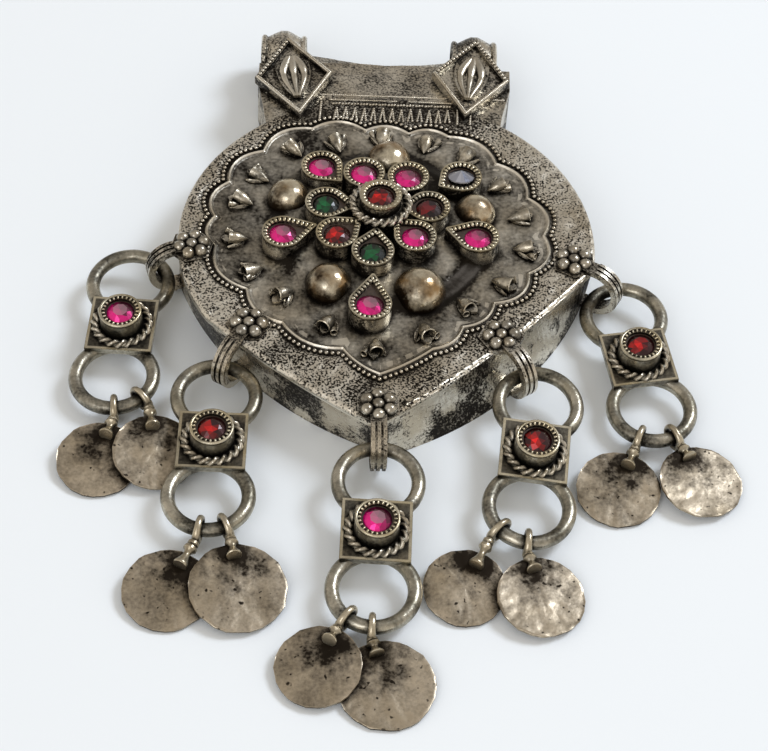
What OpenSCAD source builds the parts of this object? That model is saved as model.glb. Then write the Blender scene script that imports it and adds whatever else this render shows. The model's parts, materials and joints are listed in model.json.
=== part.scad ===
// Amulet box pendant of sheet silver, lying on its back with its drops spread out.
// The box carries a rosette of glass in notched settings between hollow domes, two bails
// at the neck and five hooks, each holding a drop of two rings with a pair of discs.
// +X is the wearer's left, +Y points to the bails and +Z points out of the face.
// The origin is on the back plate, under the rosette.

/* [Box] */
// Thickness of the box from back plate to face
box_h = 9; // [8.8:0.1:9.4]
// Radius of the round upper part of the box
box_r = 33.9; // [33.6:0.1:34.2]
// Thickness of the sheet silver
sheet_t = 0.6; // [0.5:0.05:0.7]
// Radius of the gently curved lower edges of the face
face_flank_r = 160; // [140:5:180]
// Radius of the rounder lower edges of the back plate
back_flank_r = 56; // [54:1:60]

/* [Settings] */
// Diameter of the round glass stones
stone_d = 4.3; // [4.2:0.05:4.4]
// Gap between a stone and its seat
stone_gap = 0.05; // [0.03:0.01:0.08]
// Thickness of the notched rim of a setting
rim_t = 0.95; // [0.85:0.05:1]
// Outer radius of a pear shaped setting
pear_r = 3.4; // [3.3:0.05:3.5]
// Height of the low mound under the rosette
mound_h = 1.2; // [1:0.1:1.3]

/* [Bails] */
// Radius of the hole through a bail
bail_bore_r = 3.4; // [3.2:0.05:3.5]
// Width of a bail
bail_w = 8; // [7.5:0.1:8.2]

/* [Drops] */
// Thickness of the ring wire
wire_d = 2.2; // [2:0.05:2.2]
// Radius of a ring, measured at the middle of its wire
ring_r = 6.1; // [6.05:0.05:6.15]
// Distance from a plate's middle to each ring's middle
ring_out = 9.4; // [9.35:0.05:9.45]
// Side of the square plate between two rings
plate_w = 10.6; // [10:0.1:11]
// Thickness of a hanging disc
disc_t = 0.6; // [0.5:0.05:0.6]
// Thickness of the wire eye that carries a disc
eye_wire = 0.9; // [0.8:0.05:0.95]

/* [Hidden] */
INNER_COUNT = 7;
DROP_COUNT = 5;
SIDES = ["left", "right"];
$fn = 48;

SILVER = [0.56, 0.54, 0.50];
WARM = [0.60, 0.56, 0.50];
PINK = [0.85, 0.10, 0.45];
RED = [0.75, 0.06, 0.08];
DARK_RED = [0.40, 0.05, 0.07];
GREEN = [0.03, 0.30, 0.16];
CLEAR = [0.80, 0.81, 0.86];

// Outline of the box: middle of the round part, then the shoulders and the tip of the
// face and of the back plate, which is blunter and turned a little to the right.
ROUND_MIDDLE = [1.3, -1.2];
FACE_LEFT = [-25.6, -21.2];
FACE_RIGHT = [34.3, -7.4];
FACE_TIP = [-0.3, -40.8];
BACK_LEFT = [-32.3, -5];
BACK_RIGHT = [34.8, -3];
BACK_TIP = [2.3, -39.2];
OUTLINE_STEP = 2;

// Neck: plan outline, and side profile as [y, z].
NECK_PLAN = [
  [-19, 22], [-20.2, 30], [-21.3, 36], [-21.3, 42.2], [-12.6, 42.2], [-12.2, 46.2], [-9, 45.2],
  [-7.2, 44.4], [-3.6, 43.2], [0.9, 42.7], [7, 43.3], [10, 44.2], [12.2, 45], [12.6, 42.2],
  [22.8, 42.2], [22.6, 36], [21, 29], [20, 22]
];
NECK_SIDE = [[20, 0], [47, 0], [47, 5.8], [46.3, 6.4], [43, 7.7], [38, 8.6], [33.2, 9], [20, 9]];

// Bails, as [x, lean of the diamond plate].
BAIL_Y = 46.3;
BAIL_Z = 5.25;
BAILS = [[-17.1, 8], [16.6, -7]];
DIAMOND_MIDDLES = [[-15.1, 36.4], [15.7, 37.3]];
DIAMOND_HALF = [6.8, 9.7];
DIAMOND_TILT = 2.4;

// Hooks and tabs, as [x, y of the tab, heading, reach from tab to hook, hook middle].
HOOKS = [
  [-30.3, -4.6, 198, 2.2, 0.7],
  [-20.3, -21.3, 239, 3.2, 1.2],
  [0.1, -37.2, 272, 3.2, 0.5],
  [19.3, -22.2, 304, 1.4, 2.7],
  [31.6, -5.4, 331, 3.0, 1.2]
];
HOOK_R = 3.9;
HOOK_T = 0.8;
HOOK_W = 2.5;
HOOK_Z = 5.6;

// Scalloped line on the face, as [angle, radius] of its cusps about the relief's middle,
// and the rise of the lobe that follows as a part of its chord.
RELIEF_MIDDLE = [0.3, -2.3];
CUSPS = [
  [-90, 28.3, 0.04], [-70, 24.2, 0.16], [-54, 22.2, 0.18], [-35, 22.1, 0.22], [-14, 24.6, 0.22],
  [6, 26.8, 0.22], [25, 26.8, 0.2], [45, 27.3, 0.2], [66, 28.0, 0.2], [80, 26.4, 0.2],
  [96, 26.6, 0.22], [114, 29.0, 0.22], [134, 28.6, 0.22], [153, 28.4, 0.22], [170, 27.6, 0.22],
  [184, 26.8, 0.2], [208, 24.0, 0.18], [230, 23.8, 0.16], [256, 23.9, 0.08]
];
LINE_R = 0.4;

// Leaf sprigs, as [x, y], all pointing away from the relief's middle.
SPRIGS = [
  [-7.3, 20.3], [-14.3, 18.7], [-20.1, 11.9], [-22.7, 5.9], [-23.2, -2.7], [-20.3, -9.5],
  [-15, -14.9], [-7.8, -20.6], [-0.6, -25.4], [7.2, -21.9], [13.9, -15.6], [19.9, -11],
  [23.8, -3.3], [23, 4.3], [19.6, 11.4], [14.4, 17.7], [8, 20.7], [0.2, 21.6]
];

// Rosette: middle, and the settings as [x, y, length from stone to tip, colour].
ROSETTE = [0, 1.5];
CENTRE_STONE = [0, 2];
INNER = [
  [-1.1, -8, 5.2, GREEN], [5.7, -4.4, 5.0, PINK], [8, 2.3, 5.0, DARK_RED], [4.6, 9.2, 4.8, PINK],
  [-2.7, 9.8, 4.8, PINK], [-8.8, 2.5, 5.2, GREEN], [-6.9, -4.3, 5.2, RED]
];
OUTER = [
  [-1.4, -18.7, 6.6, PINK], [15.9, -3.3, 5.6, PINK], [13.4, 10.5, 4.6, CLEAR],
  [-9.7, 12, 5.0, PINK], [-15.6, -3.6, 5.8, PINK]
];
INNER_TOP = 4.2;
OUTER_TOP = 3.3;
CENTRE_TOP = 6.8;
CENTRE_R = 3.4;
CUP_R = 4.1;
ROPE_R = 4.5;
ROPE_WIRE_R = 0.5;
// Hollow domes, as [x, y, radius].
DOMES = [[1.5, 16.3, 3.6], [-15, 6.8, 3.4], [-8, -12.4, 3.6], [6.5, -13.4, 4.1], [15.7, 4.7, 3.3]];

// The clear stone lies upside down and tipped back in its setting: angle and height.
LOOSE_STONE = 3;
LOOSE_TIP = 17;
LOOSE_RISE = -0.1;

// Depth of the fill below a rim, the stone's girdle below the rim, and the stone's shape.
FILL_DEPTH = 0.5;
GIRDLE_DEPTH = 0.45;
SEAT_DEPTH = 1.9;
CROWN_H = 0.75;
PAVILION_H = 1.25;
TABLE_PART = 0.55;

// Drops, as [x, y of the plate, yaw, pitch, tip, height of the wire's low end, colour].
DROPS = [
  [-40.6, -17.9, -3.5, 3.6, 1.5, 2.4, PINK],
  [-25.0, -41.3, -0.7, 2.6, 0, 2.95, RED],
  [0.1, -57.5, -1.5, 5, -1, 2.4, PINK],
  [24.1, -41.9, -5.6, 5.6, -3, 2.7, RED],
  [41.6, -21.4, 10.1, 2.8, 1, 2.45, RED]
];
PLATE_T = 1.0;
PLATE_Z = 0.6;
LINK_CUP_R = 3.35;
LINK_CUP_TOP = 4.9;
LINK_ROPE_R = 4.25;
LINK_ROPE_WIRE_R = 0.5;

// Discs, as [eye's angle on the lower ring, x, y, z, radius, pitch, tip].
DISCS = [
  [8, -42.4, -42.9, 1.5, 6.5, 10, 0], [50, -33.8, -41.6, 2.12, 6.6, 8, -7],
  [-9, -30.3, -66.8, 1.42, 6.7, 9, 0], [28, -19.9, -66.4, 1.94, 7.4, 7, -5],
  [-37, -7.9, -79.6, 1.9, 6.45, 8, 6], [0, 1.9, -81.9, 1.06, 7.2, 5.5, 0],
  [-42, 13.3, -64.9, 1.46, 6.3, 10, 0], [2, 24.5, -66.4, 1.8, 6.7, 5, -5],
  [-32, 37.2, -45.7, 1.4, 6.6, 9, 0], [20, 50.0, -44, 1.76, 6.6, 3, -6]
];
EYE_PLAY = 0.22;
// Stem from eye to foot, as [part of its length, radius]: neck, bead, waist and flare.
STEM = [[0, 0.75], [0.16, 0.75], [0.22, 1.02], [0.38, 1.02], [0.5, 0.55], [1, 0.98]];
FOOT_R = 1.15;
FOOT_IN = 2.2;
FOOT_H = 0.9;

face_z = box_h;
wire_r = wire_d / 2;
stone_r = stone_d / 2;
eye_wire_r = eye_wire / 2;
eye_r = wire_r + EYE_PLAY + eye_wire_r;

function unit(v) = v / norm(v);
function heading(v) = atan2(v[1], v[0]);
function turn_x(p, a) = [p[0], p[1] * cos(a) - p[2] * sin(a), p[1] * sin(a) + p[2] * cos(a)];
function turn_y(p, a) = [p[0] * cos(a) + p[2] * sin(a), p[1], p[2] * cos(a) - p[0] * sin(a)];
function turn_z(p, a) = [p[0] * cos(a) - p[1] * sin(a), p[0] * sin(a) + p[1] * cos(a), p[2]];
function turned(p, pitch, tip, yaw) = turn_z(turn_y(turn_x(p, pitch), -tip), yaw);
function polar(r, a) = [r * cos(a), r * sin(a)];

// Middle of a circle of radius r through a and b, on the side given by the sign.
function arc_middle(a, b, r, side) =
  let (run = b - a, half = norm(run) / 2, across = [run[1], -run[0]] / norm(run))
  (a + b) / 2 + side * across * sqrt(r * r - half * half);

// Distance from the round part's middle to a circle's edge, at an angle.
function reach(angle, middle, r) =
  let (offset = middle - ROUND_MIDDLE, along = offset * polar(1, angle))
  along + sqrt(along * along - offset * offset + r * r);

// Outline of the face or of the back plate: the round part, cut in by its two lower edges.
function outline(left, right, tip, flank_r) =
  let (
    left_middle = arc_middle(left, tip, flank_r, -1),
    right_middle = arc_middle(right, tip, flank_r, 1),
    from = heading(left - ROUND_MIDDLE) + 360,
    to = heading(right - ROUND_MIDDLE) + 360
  )
  [for (a = [0 : OUTLINE_STEP : 360 - OUTLINE_STEP])
    let (
      flanks = min(reach(a, left_middle, flank_r), reach(a, right_middle, flank_r)),
      edge = a > from && a < to ? flanks : min(box_r, flanks)
    )
    ROUND_MIDDLE + polar(edge, a)];

// An outline at a height, drawn in towards its middle.
function level(points, inset, z) =
  [for (p = points) concat(p - inset * unit(p - ROUND_MIDDLE), z)];

// Box between two heights, leaning from the back plate's outline to the face's.
module box_body(low, high, inset) {
  back = outline(BACK_LEFT, BACK_RIGHT, BACK_TIP, back_flank_r);
  face = outline(FACE_LEFT, FACE_RIGHT, FACE_TIP, face_flank_r);
  count = len(back);
  polyhedron(
    points = concat(level(back, inset, low), level(face, inset, high)),
    faces = concat(
      [[for (k = [0 : count - 1]) k]],
      [[for (k = [0 : count - 1]) 2 * count - 1 - k]],
      [for (k = [0 : count - 1]) [k, count + k, (k + 1) % count]],
      [for (k = [0 : count - 1]) [(k + 1) % count, count + k, count + (k + 1) % count]]
    )
  );
}

module neck_body(inset) {
  reach = 50;
  intersection() {
    linear_extrude(face_z) offset_plan(inset);
    rotate([90, 0, 90]) translate([0, 0, -reach / 2]) linear_extrude(reach)
      intersection() {
        polygon([for (p = NECK_SIDE) [p[0] - inset, p[1] * (face_z / 9)]]);
        translate([0, inset]) square([reach, face_z - 2 * inset]);
      }
  }
}

// The neck's plan, narrowed for its inner space.
module offset_plan(inset) {
  middle_x = 0.8;
  polygon([for (p = NECK_PLAN)
    [p[0] - inset * sign(p[0] - middle_x), p[1] - (p[1] > 30 ? inset : 0)]]);
}

// Half ring hook with its tab plate and seven granules, pointing along +X.
module hook(reach, out) {
  granule_r = 1.05;
  tab_r = 3.7;
  tab_t = 0.7;
  translate([0, 0, face_z - 0.2]) cylinder(r = tab_r, h = tab_t, $fn = 6);
  for (a = [0 : 60 : 300])
    translate([2 * cos(a), 2 * sin(a), face_z + tab_t]) sphere(granule_r, $fn = 24);
  translate([0, 0, face_z + tab_t]) sphere(granule_r, $fn = 24);
  translate([reach + out, 0, HOOK_Z]) rotate([90, 0, 0]) rotate([0, 0, -90])
    rotate_extrude(angle = 180) hook_strip();
  translate([0, -HOOK_W / 2, HOOK_Z + HOOK_R - HOOK_T / 2]) cube([reach + out, HOOK_W, HOOK_T]);
  translate([reach - 3, -HOOK_W / 2, HOOK_Z - HOOK_R - HOOK_T / 2]) cube([out + 3, HOOK_W, HOOK_T]);
}

// Section of the ribbed strip of a hook.
module hook_strip() {
  rib_h = 0.35;
  translate([HOOK_R - HOOK_T / 2, -HOOK_W / 2]) square([HOOK_T, HOOK_W]);
  for (y = [-1, 0, 1])
    translate([HOOK_R, y * 0.9 - 0.25]) square([HOOK_T / 2 + rib_h, 0.5]);
}

// Bail: a broad band bent round into a ring, swelling in the middle between two raised
// edges, with its hole along X.
module bail() {
  valley = bail_bore_r + 0.55;
  edge = bail_bore_r + 0.9;
  swell = bail_bore_r + 1.7;
  half = bail_w / 2;
  rotate([0, 90, 0]) rotate_extrude()
    polygon([
      [bail_bore_r, -half], [valley, -half], [edge, -half + 0.25], [edge, -half + 0.7],
      [valley, -half + 1.1], [valley + 0.6, -1.8], [swell, -0.6], [swell, 0.6],
      [valley + 0.6, 1.8], [valley, half - 1.1], [edge, half - 0.7], [edge, half - 0.25],
      [valley, half], [bail_bore_r, half]
    ]);
}

module diamond(scale_by) {
  polygon([
    [0, -DIAMOND_HALF[1] * scale_by], [DIAMOND_HALF[0] * scale_by, 0],
    [0, DIAMOND_HALF[1] * scale_by], [-DIAMOND_HALF[0] * scale_by, 0]
  ]);
}

// Pointed leaf of a given length and width, lying along +Y from the origin.
module leaf(length, width) {
  r = (length * length / 4 + width * width / 4) / width;
  intersection() {
    translate([r - width / 2, length / 2]) circle(r);
    translate([width / 2 - r, length / 2]) circle(r);
  }
}

// Diamond plate with a raised border and a three lobed bud.
module diamond_plate() {
  plate_t = 0.9;
  border_t = 0.6;
  linear_extrude(plate_t) diamond(1);
  linear_extrude(plate_t + border_t) difference() {
    diamond(1);
    diamond(0.84);
  }
  linear_extrude(plate_t + 0.7) {
    translate([0, -5.2]) leaf(9.4, 1.9);
    for (s = [-1, 1])
      translate([s * 0.7, -5.2]) rotate([0, 0, -s * 14]) leaf(8.6, 1.9);
  }
}

// Pear outline round the origin, with its tip on +X.
module pear(r, length) {
  touch = acos(r / length);
  circle(r);
  polygon([[length, 0], polar(r * 0.99, touch), polar(r * 0.99, -touch)]);
}

// A pear setting and what is cut out of it: fill above, stone seat below.
module pear_block(r, length, top) {
  linear_extrude(top) pear(r, length);
}

module pear_cut(r, length, top) {
  inner_r = r - rim_t;
  translate([0, 0, top - FILL_DEPTH]) linear_extrude(FILL_DEPTH + 1)
    pear(inner_r, inner_r * length / r);
  seat_cut(top);
}

module seat_cut(top) {
  translate([0, 0, top - SEAT_DEPTH]) cylinder(r = stone_r + stone_gap, h = SEAT_DEPTH + 1);
}

// Cut glass stone with its girdle at z = 0.
module stone(colour) {
  color(colour) rotate_extrude($fn = 10)
    polygon([
      [0, -PAVILION_H], [0.25, -PAVILION_H], [stone_r, -0.1], [stone_r, 0.1],
      [stone_r * TABLE_PART, CROWN_H], [0, CROWN_H]
    ]);
}

module at_setting(row) {
  tip_way = heading(ROSETTE - [row[0], row[1]]);
  translate([row[0], row[1], face_z]) rotate([0, 0, tip_way]) children();
}

// Raised line of one lobe, an arc of wire from one cusp to the next.
module lobe(from, to, rise_part) {
  chord = norm(to - from);
  rise = chord * rise_part;
  r = chord * chord / (8 * rise) + rise / 2;
  spread = 2 * asin(chord / (2 * r));
  way = heading(to - from);
  translate(concat((from + to) / 2, face_z - 0.05)) rotate([0, 0, way])
    translate([0, r - rise, 0]) rotate([0, 0, 270 - spread / 2])
      rotate_extrude(angle = spread) translate([r, 0]) circle(LINE_R, $fn = 16);
}

module scallops() {
  points = [for (c = CUSPS) RELIEF_MIDDLE + polar(c[1], c[0])];
  count = len(points);
  for (k = [0 : count - 1])
    lobe(points[k], points[(k + 1) % count], CUSPS[k][2]);
  for (p = points)
    translate(concat(p, face_z - 0.05)) sphere(LINE_R * 1.15, $fn = 16);
}

module sprig(row) {
  way = heading(row - RELIEF_MIDDLE);
  translate(concat(row, face_z - 0.1)) rotate([0, 0, way - 90]) {
    for (s = [-1, 1])
      translate([0, -1.6, 0]) rotate([0, 0, s * 32]) linear_extrude(0.5) leaf(3.6, 1.2);
    translate([0, -0.4, 0]) linear_extrude(0.8) leaf(2.8, 1.8);
  }
}

module mound() {
  foot_r = 16.6;
  top_r = 15.2;
  translate(concat(ROSETTE - [0, 1.2], face_z - 0.2))
    cylinder(r1 = foot_r, r2 = top_r, h = mound_h + 0.2, $fn = 72);
}

// The metal of the box before its hollow and its seats are cut.
module case_metal() {
  box_body(0, face_z, 0);
  neck_body(0);
  mound();
  scallops();
  for (row = SPRIGS) sprig(row);
  for (row = DOMES)
    translate([row[0], row[1], face_z + mound_h - 0.8]) sphere(row[2]);
  for (row = INNER)
    at_setting(row) pear_block(pear_r, row[2], INNER_TOP);
  for (row = OUTER)
    at_setting(row) pear_block(pear_r, row[2], OUTER_TOP);
  translate(concat(CENTRE_STONE, face_z)) {
    cylinder(r = CENTRE_R, h = CENTRE_TOP);
    cylinder(r = CUP_R, h = CENTRE_TOP - 1.9);
    translate([0, 0, CENTRE_TOP - 1.9]) rotate_extrude()
      translate([ROPE_R, 0]) circle(ROPE_WIRE_R, $fn = 16);
  }
  for (row = HOOKS)
    translate([row[0], row[1], 0]) rotate([0, 0, row[2]]) hook(row[3], row[4]);
  for (k = [0, 1]) {
    translate([BAILS[k][0], BAIL_Y, BAIL_Z]) bail();
    translate(concat(DIAMOND_MIDDLES[k], face_z + 0.1)) rotate([DIAMOND_TILT, 0, BAILS[k][1]])
      diamond_plate();
  }
}

// The sealed space inside the box, neck and domes.
module case_hollow() {
  box_body(sheet_t, face_z - sheet_t, sheet_t);
  neck_body(sheet_t);
  for (row = DOMES)
    translate([row[0], row[1], face_z + mound_h - 0.8]) sphere(row[2] - sheet_t);
}

module case() {
  color(SILVER) difference() {
    case_metal();
    case_hollow();
    for (row = INNER)
      at_setting(row) pear_cut(pear_r, row[2], INNER_TOP);
    for (row = OUTER)
      at_setting(row) pear_cut(pear_r, row[2], OUTER_TOP);
    translate(concat(CENTRE_STONE, face_z)) {
      translate([0, 0, CENTRE_TOP - FILL_DEPTH]) cylinder(r = CENTRE_R - rim_t, h = 2);
      seat_cut(CENTRE_TOP);
    }
  }
}

module set_stone(row, top) {
  translate([row[0], row[1], face_z + top - GIRDLE_DEPTH]) stone(row[3]);
}

// The one stone that came loose and lies with its point up.
module loose_stone(row) {
  translate([row[0], row[1], face_z + OUTER_TOP + LOOSE_RISE])
    rotate([-LOOSE_TIP, 0, 0]) rotate([180, 0, 0]) stone(row[3]);
}

module outer_stone(k) {
  if (k == LOOSE_STONE) loose_stone(OUTER[k - 1]);
  else set_stone(OUTER[k - 1], OUTER_TOP);
}

module on_link(k) {
  row = DROPS[k];
  middle_z = row[5] + (ring_out + ring_r) * sin(row[3]);
  translate([row[0], row[1], middle_z]) rotate([row[3], -row[4], row[2]]) children();
}

// World place of a point given in a link's own frame.
function link_point(k, p) =
  let (row = DROPS[k], middle_z = row[5] + (ring_out + ring_r) * sin(row[3]))
  [row[0], row[1], middle_z] + turned(p, row[3], row[4], row[2]);

// Two wire rings under a square plate that carries a roped, notched setting.
module link(k) {
  color(SILVER) on_link(k) difference() {
    union() {
      for (s = [-1, 1])
        translate([0, s * ring_out, 0]) rotate_extrude() translate([ring_r, 0]) circle(wire_r, $fn = 24);
      translate([-plate_w / 2, -plate_w / 2, PLATE_Z]) cube([plate_w, plate_w, PLATE_T]);
      translate([0, 0, PLATE_Z + PLATE_T]) rotate_extrude()
        translate([LINK_ROPE_R, 0]) circle(LINK_ROPE_WIRE_R, $fn = 16);
      translate([0, 0, PLATE_Z + 0.1]) cylinder(r = LINK_CUP_R, h = LINK_CUP_TOP - PLATE_Z - 0.1);
    }
    translate([0, 0, LINK_CUP_TOP - FILL_DEPTH]) cylinder(r = LINK_CUP_R - rim_t, h = 2);
    seat_cut(LINK_CUP_TOP);
  }
}

module link_stone(k) {
  on_link(k) translate([0, 0, LINK_CUP_TOP - GIRDLE_DEPTH]) stone(DROPS[k][6]);
}

// Turned stem between two points.
module stem(a, b) {
  run = b - a;
  l = norm(run);
  translate(a) rotate([0, acos(run[2] / l), heading(run)]) rotate_extrude($fn = 24)
    polygon(concat([[0, 0]], [for (row = STEM) [row[1], row[0] * l]], [[0, l]]));
}

// Disc with its cast eye: a wire ring round the link's ring, a beaded stem and a foot.
module disc(k, row) {
  angle = row[0] - 90;
  eye = concat([0, -ring_out] + polar(ring_r, angle), 0);
  stem_top = link_point(k, concat([0, -ring_out] + polar(ring_r + eye_r, angle), 0));
  middle = [row[1], row[2], row[3]];
  towards_eye = unit([stem_top[0] - row[1], stem_top[1] - row[2]]);
  foot_place = towards_eye * (row[4] - FOOT_IN);
  foot = middle + turned(concat(foot_place, disc_t / 2 + FOOT_H / 2), row[5], row[6], 0);
  color(WARM) union() {
    translate(middle) rotate([row[5], -row[6], 0]) {
      cylinder(r = row[4], h = disc_t, center = true);
      translate(concat(foot_place, 0)) cylinder(r = FOOT_R, h = disc_t / 2 + FOOT_H, $fn = 24);
    }
    on_link(k) translate(eye) rotate([90, 0, angle]) rotate_extrude()
      translate([eye_r, 0]) circle(eye_wire_r, $fn = 16);
    stem(stem_top, foot);
  }
}

case();
translate(concat(CENTRE_STONE, face_z + CENTRE_TOP - GIRDLE_DEPTH)) stone(RED);  // stone_centre
for (k = [1 : INNER_COUNT])
  set_stone(INNER[k - 1], INNER_TOP);
for (k = [1 : DROP_COUNT]) {
  outer_stone(k);
  link(k - 1);
  link_stone(k - 1);
  for (s = [0, 1])
    disc(k - 1, DISCS[2 * (k - 1) + s]);
}
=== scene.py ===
"""Looks of an amulet box pendant of oxidised sheet silver with glass stones and ring drops.

Sizes in the tables are millimetres in the model's frame, and TO_METRES brings them to Blender.
"""
import json
import math

import bmesh
import bpy
import numpy as np
from mathutils import Matrix, Vector, noise


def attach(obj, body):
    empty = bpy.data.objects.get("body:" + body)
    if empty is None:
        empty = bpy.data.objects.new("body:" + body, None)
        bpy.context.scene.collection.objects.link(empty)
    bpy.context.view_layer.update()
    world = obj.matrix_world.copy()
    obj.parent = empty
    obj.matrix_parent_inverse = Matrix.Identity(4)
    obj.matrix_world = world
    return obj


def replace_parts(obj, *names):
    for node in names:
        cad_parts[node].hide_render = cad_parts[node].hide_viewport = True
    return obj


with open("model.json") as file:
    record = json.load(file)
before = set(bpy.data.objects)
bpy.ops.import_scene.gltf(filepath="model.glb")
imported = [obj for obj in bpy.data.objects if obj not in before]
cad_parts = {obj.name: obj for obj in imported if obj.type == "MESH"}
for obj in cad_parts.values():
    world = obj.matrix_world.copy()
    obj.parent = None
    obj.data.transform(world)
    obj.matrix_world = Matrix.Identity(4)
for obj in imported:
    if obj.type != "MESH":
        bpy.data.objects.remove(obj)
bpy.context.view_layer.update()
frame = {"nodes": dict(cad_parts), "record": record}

# View and light.
# The pendant lies on white card. A long lens looks down on it from its lower end, and one
# large soft light stands to the right, so that the shadows fall to the left and below.
TO_METRES = 0.001
CAMERA_AT = (-8.457, -252.726, 265.700)
LENS, SENSOR, CLIP_NEAR, CLIP_FAR = 103.125, 36, 0.01, 10
# Degrees: round the pendant, down on to it, and about the line of sight.
AZIMUTH, ELEVATION, ROLL = -2.426, 49.111, 3.585
# Name, place, size of the panel, power in watts and colour; each one faces the pendant.
LIGHTS = [
    ("soft_box_right", (900, 460, 1070), 480, 11.6, "#ecf3ff"),
    ("soft_box_front", (-420, -820, 760), 600, 2.6, "#f6f8ff"),
]
SKY_COLOUR = "#faf2e9"
# Strength near the table and overhead, and the share of it that is left on the far side.
SKY_LOW, SKY_HIGH, SKY_FAR = 0.88, 0.64, 0.6


def linear(text):
    """A hex sRGB colour as linear red, green, blue and alpha."""
    parts = [int(text[k : k + 2], 16) / 255 for k in (1, 3, 5)]
    return tuple(c / 12.92 if c <= 0.04045 else ((c + 0.055) / 1.055) ** 2.4 for c in parts) + (1.0,)


def moved(x, y, z):
    """A shift that is given in millimetres."""
    return Matrix.Translation(Vector((x, y, z)) * TO_METRES)


def add_node(tree, kind, inputs=None, **settings):
    """Adds a node; an input takes a value, or the socket that feeds it."""
    node = tree.nodes.new(kind)
    for key, value in settings.items():
        setattr(node, key, value)
    for key, value in (inputs or {}).items():
        if isinstance(value, bpy.types.NodeSocket):
            tree.links.new(value, node.inputs[key])
        else:
            node.inputs[key].default_value = value
    return node


azimuth, elevation, roll = (math.radians(turn) for turn in (AZIMUTH, ELEVATION, ROLL))
level = Vector((math.cos(azimuth), math.sin(azimuth), 0))
back = Vector((
    math.sin(azimuth) * math.cos(elevation), -math.cos(azimuth) * math.cos(elevation), math.sin(elevation),
))
upright = back.cross(level)
across = math.cos(roll) * level + math.sin(roll) * upright
upwards = math.cos(roll) * upright - math.sin(roll) * level
camera = bpy.data.objects.new("camera", bpy.data.cameras.new("camera"))
camera.data.sensor_width = SENSOR
camera.data.lens = LENS
camera.data.clip_start, camera.data.clip_end = CLIP_NEAR, CLIP_FAR
camera.matrix_world = moved(*CAMERA_AT) @ Matrix((across, upwards, back)).transposed().to_4x4()
bpy.context.scene.collection.objects.link(camera)
bpy.context.scene.camera = camera
bpy.context.scene.view_settings.view_transform = "Standard"

for name, place, width, watts, colour in LIGHTS:
    lamp = bpy.data.objects.new(name, bpy.data.lights.new(name, "AREA"))
    lamp.data.size = width * TO_METRES
    lamp.data.energy = watts
    lamp.data.color = linear(colour)[:3]
    lamp.location = Vector(place) * TO_METRES
    lamp.rotation_euler = lamp.location.to_track_quat("Z", "Y").to_euler()
    bpy.context.scene.collection.objects.link(lamp)

# The room is pale near the table and dim overhead and behind, so the silver has dark tones.
world = bpy.data.worlds.new("room")
bpy.context.scene.world = world
world.use_nodes = True
tree = world.node_tree
tree.nodes.clear()
way = add_node(tree, "ShaderNodeTexCoord")
facing = add_node(tree, "ShaderNodeSeparateXYZ", {0: way.outputs["Generated"]})
overhead = add_node(
    tree, "ShaderNodeMapRange", {"Value": facing.outputs["Z"], 1: 0.1, 2: 0.85, 3: SKY_LOW, 4: SKY_HIGH}
)
far_side = add_node(
    tree, "ShaderNodeMapRange", {"Value": facing.outputs["Y"], 1: 0.15, 2: 0.7, 3: 1.0, 4: SKY_FAR}
)
strength = add_node(
    tree, "ShaderNodeMath", {0: overhead.outputs[0], 1: far_side.outputs[0]}, operation="MULTIPLY"
)
sky = add_node(
    tree, "ShaderNodeBackground", {"Color": linear(SKY_COLOUR), "Strength": strength.outputs[0]}
)
add_node(tree, "ShaderNodeOutputWorld", {"Surface": sky.outputs[0]})

# Card.
# A sheet of white card lies under the pendant, far wider than the view. It is matt paper that
# was pressed smooth.
CARD_WIDTH, CARD_DROP = 4000, 0.02
CARD_COLOUR, CARD_ROUGHNESS = "#eff5f8", 0.9
# Nine fibres in 10 mm are coarser than in real paper, so that they can show.
FIBRE_MM, FIBRE_STRENGTH, FIBRE_DEPTH_MM = 10 / 9, 0.1, 0.1


def new_material(name):
    """An empty material and its Principled shader, already joined to the output."""
    material = bpy.data.materials.new(name)
    material.use_nodes = True
    tree = material.node_tree
    tree.nodes.clear()
    shader = add_node(tree, "ShaderNodeBsdfPrincipled")
    add_node(tree, "ShaderNodeOutputMaterial", {"Surface": shader.outputs[0]})
    return material, tree, shader


# Pressed card: it takes shadows softly, with a faint tooth of paper fibres.
card_white, tree, shader = new_material("white_card")
place = add_node(tree, "ShaderNodeTexCoord").outputs["Object"]
fibre = add_node(tree, "ShaderNodeTexNoise", {"Vector": place, "Scale": 1000 / FIBRE_MM})
tooth = add_node(tree, "ShaderNodeBump", {
    "Height": fibre.outputs[0], "Strength": FIBRE_STRENGTH, "Distance": FIBRE_DEPTH_MM * TO_METRES,
})
shader.inputs["Base Color"].default_value = linear(CARD_COLOUR)
shader.inputs["Roughness"].default_value = CARD_ROUGHNESS
tree.links.new(tooth.outputs[0], shader.inputs["Normal"])
half, low = CARD_WIDTH * TO_METRES / 2, -CARD_DROP * TO_METRES
corners = [(-half, -half, low), (half, -half, low), (half, half, low), (-half, half, low)]
mesh = bpy.data.meshes.new("card")
mesh.from_pydata(corners, [], [(0, 1, 2, 3)])
mesh.materials.append(card_white)
card = bpy.data.objects.new("card", mesh)
bpy.context.scene.collection.objects.link(card)

# Box, neck, bails, tabs and hooks.
# Sheet silver, soldered, left black in its hollows and rubbed bright where hands touch it.
# These keep their solids; the finish darkens hollows and brightens edges.
SILVER_WORN, SILVER_STAIN, SILVER_TARNISH, METALLIC = "#cfc8b8", "#93815f", "#231f1a", 0.94
# What wear loses deep in a hollow, and gains in the open and on an edge of this width.
HOLLOW_LOSS, OPEN_GAIN, EDGE_GAIN, EDGE_MM = -1.25, 0.25, 0.55, 0.25
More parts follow.
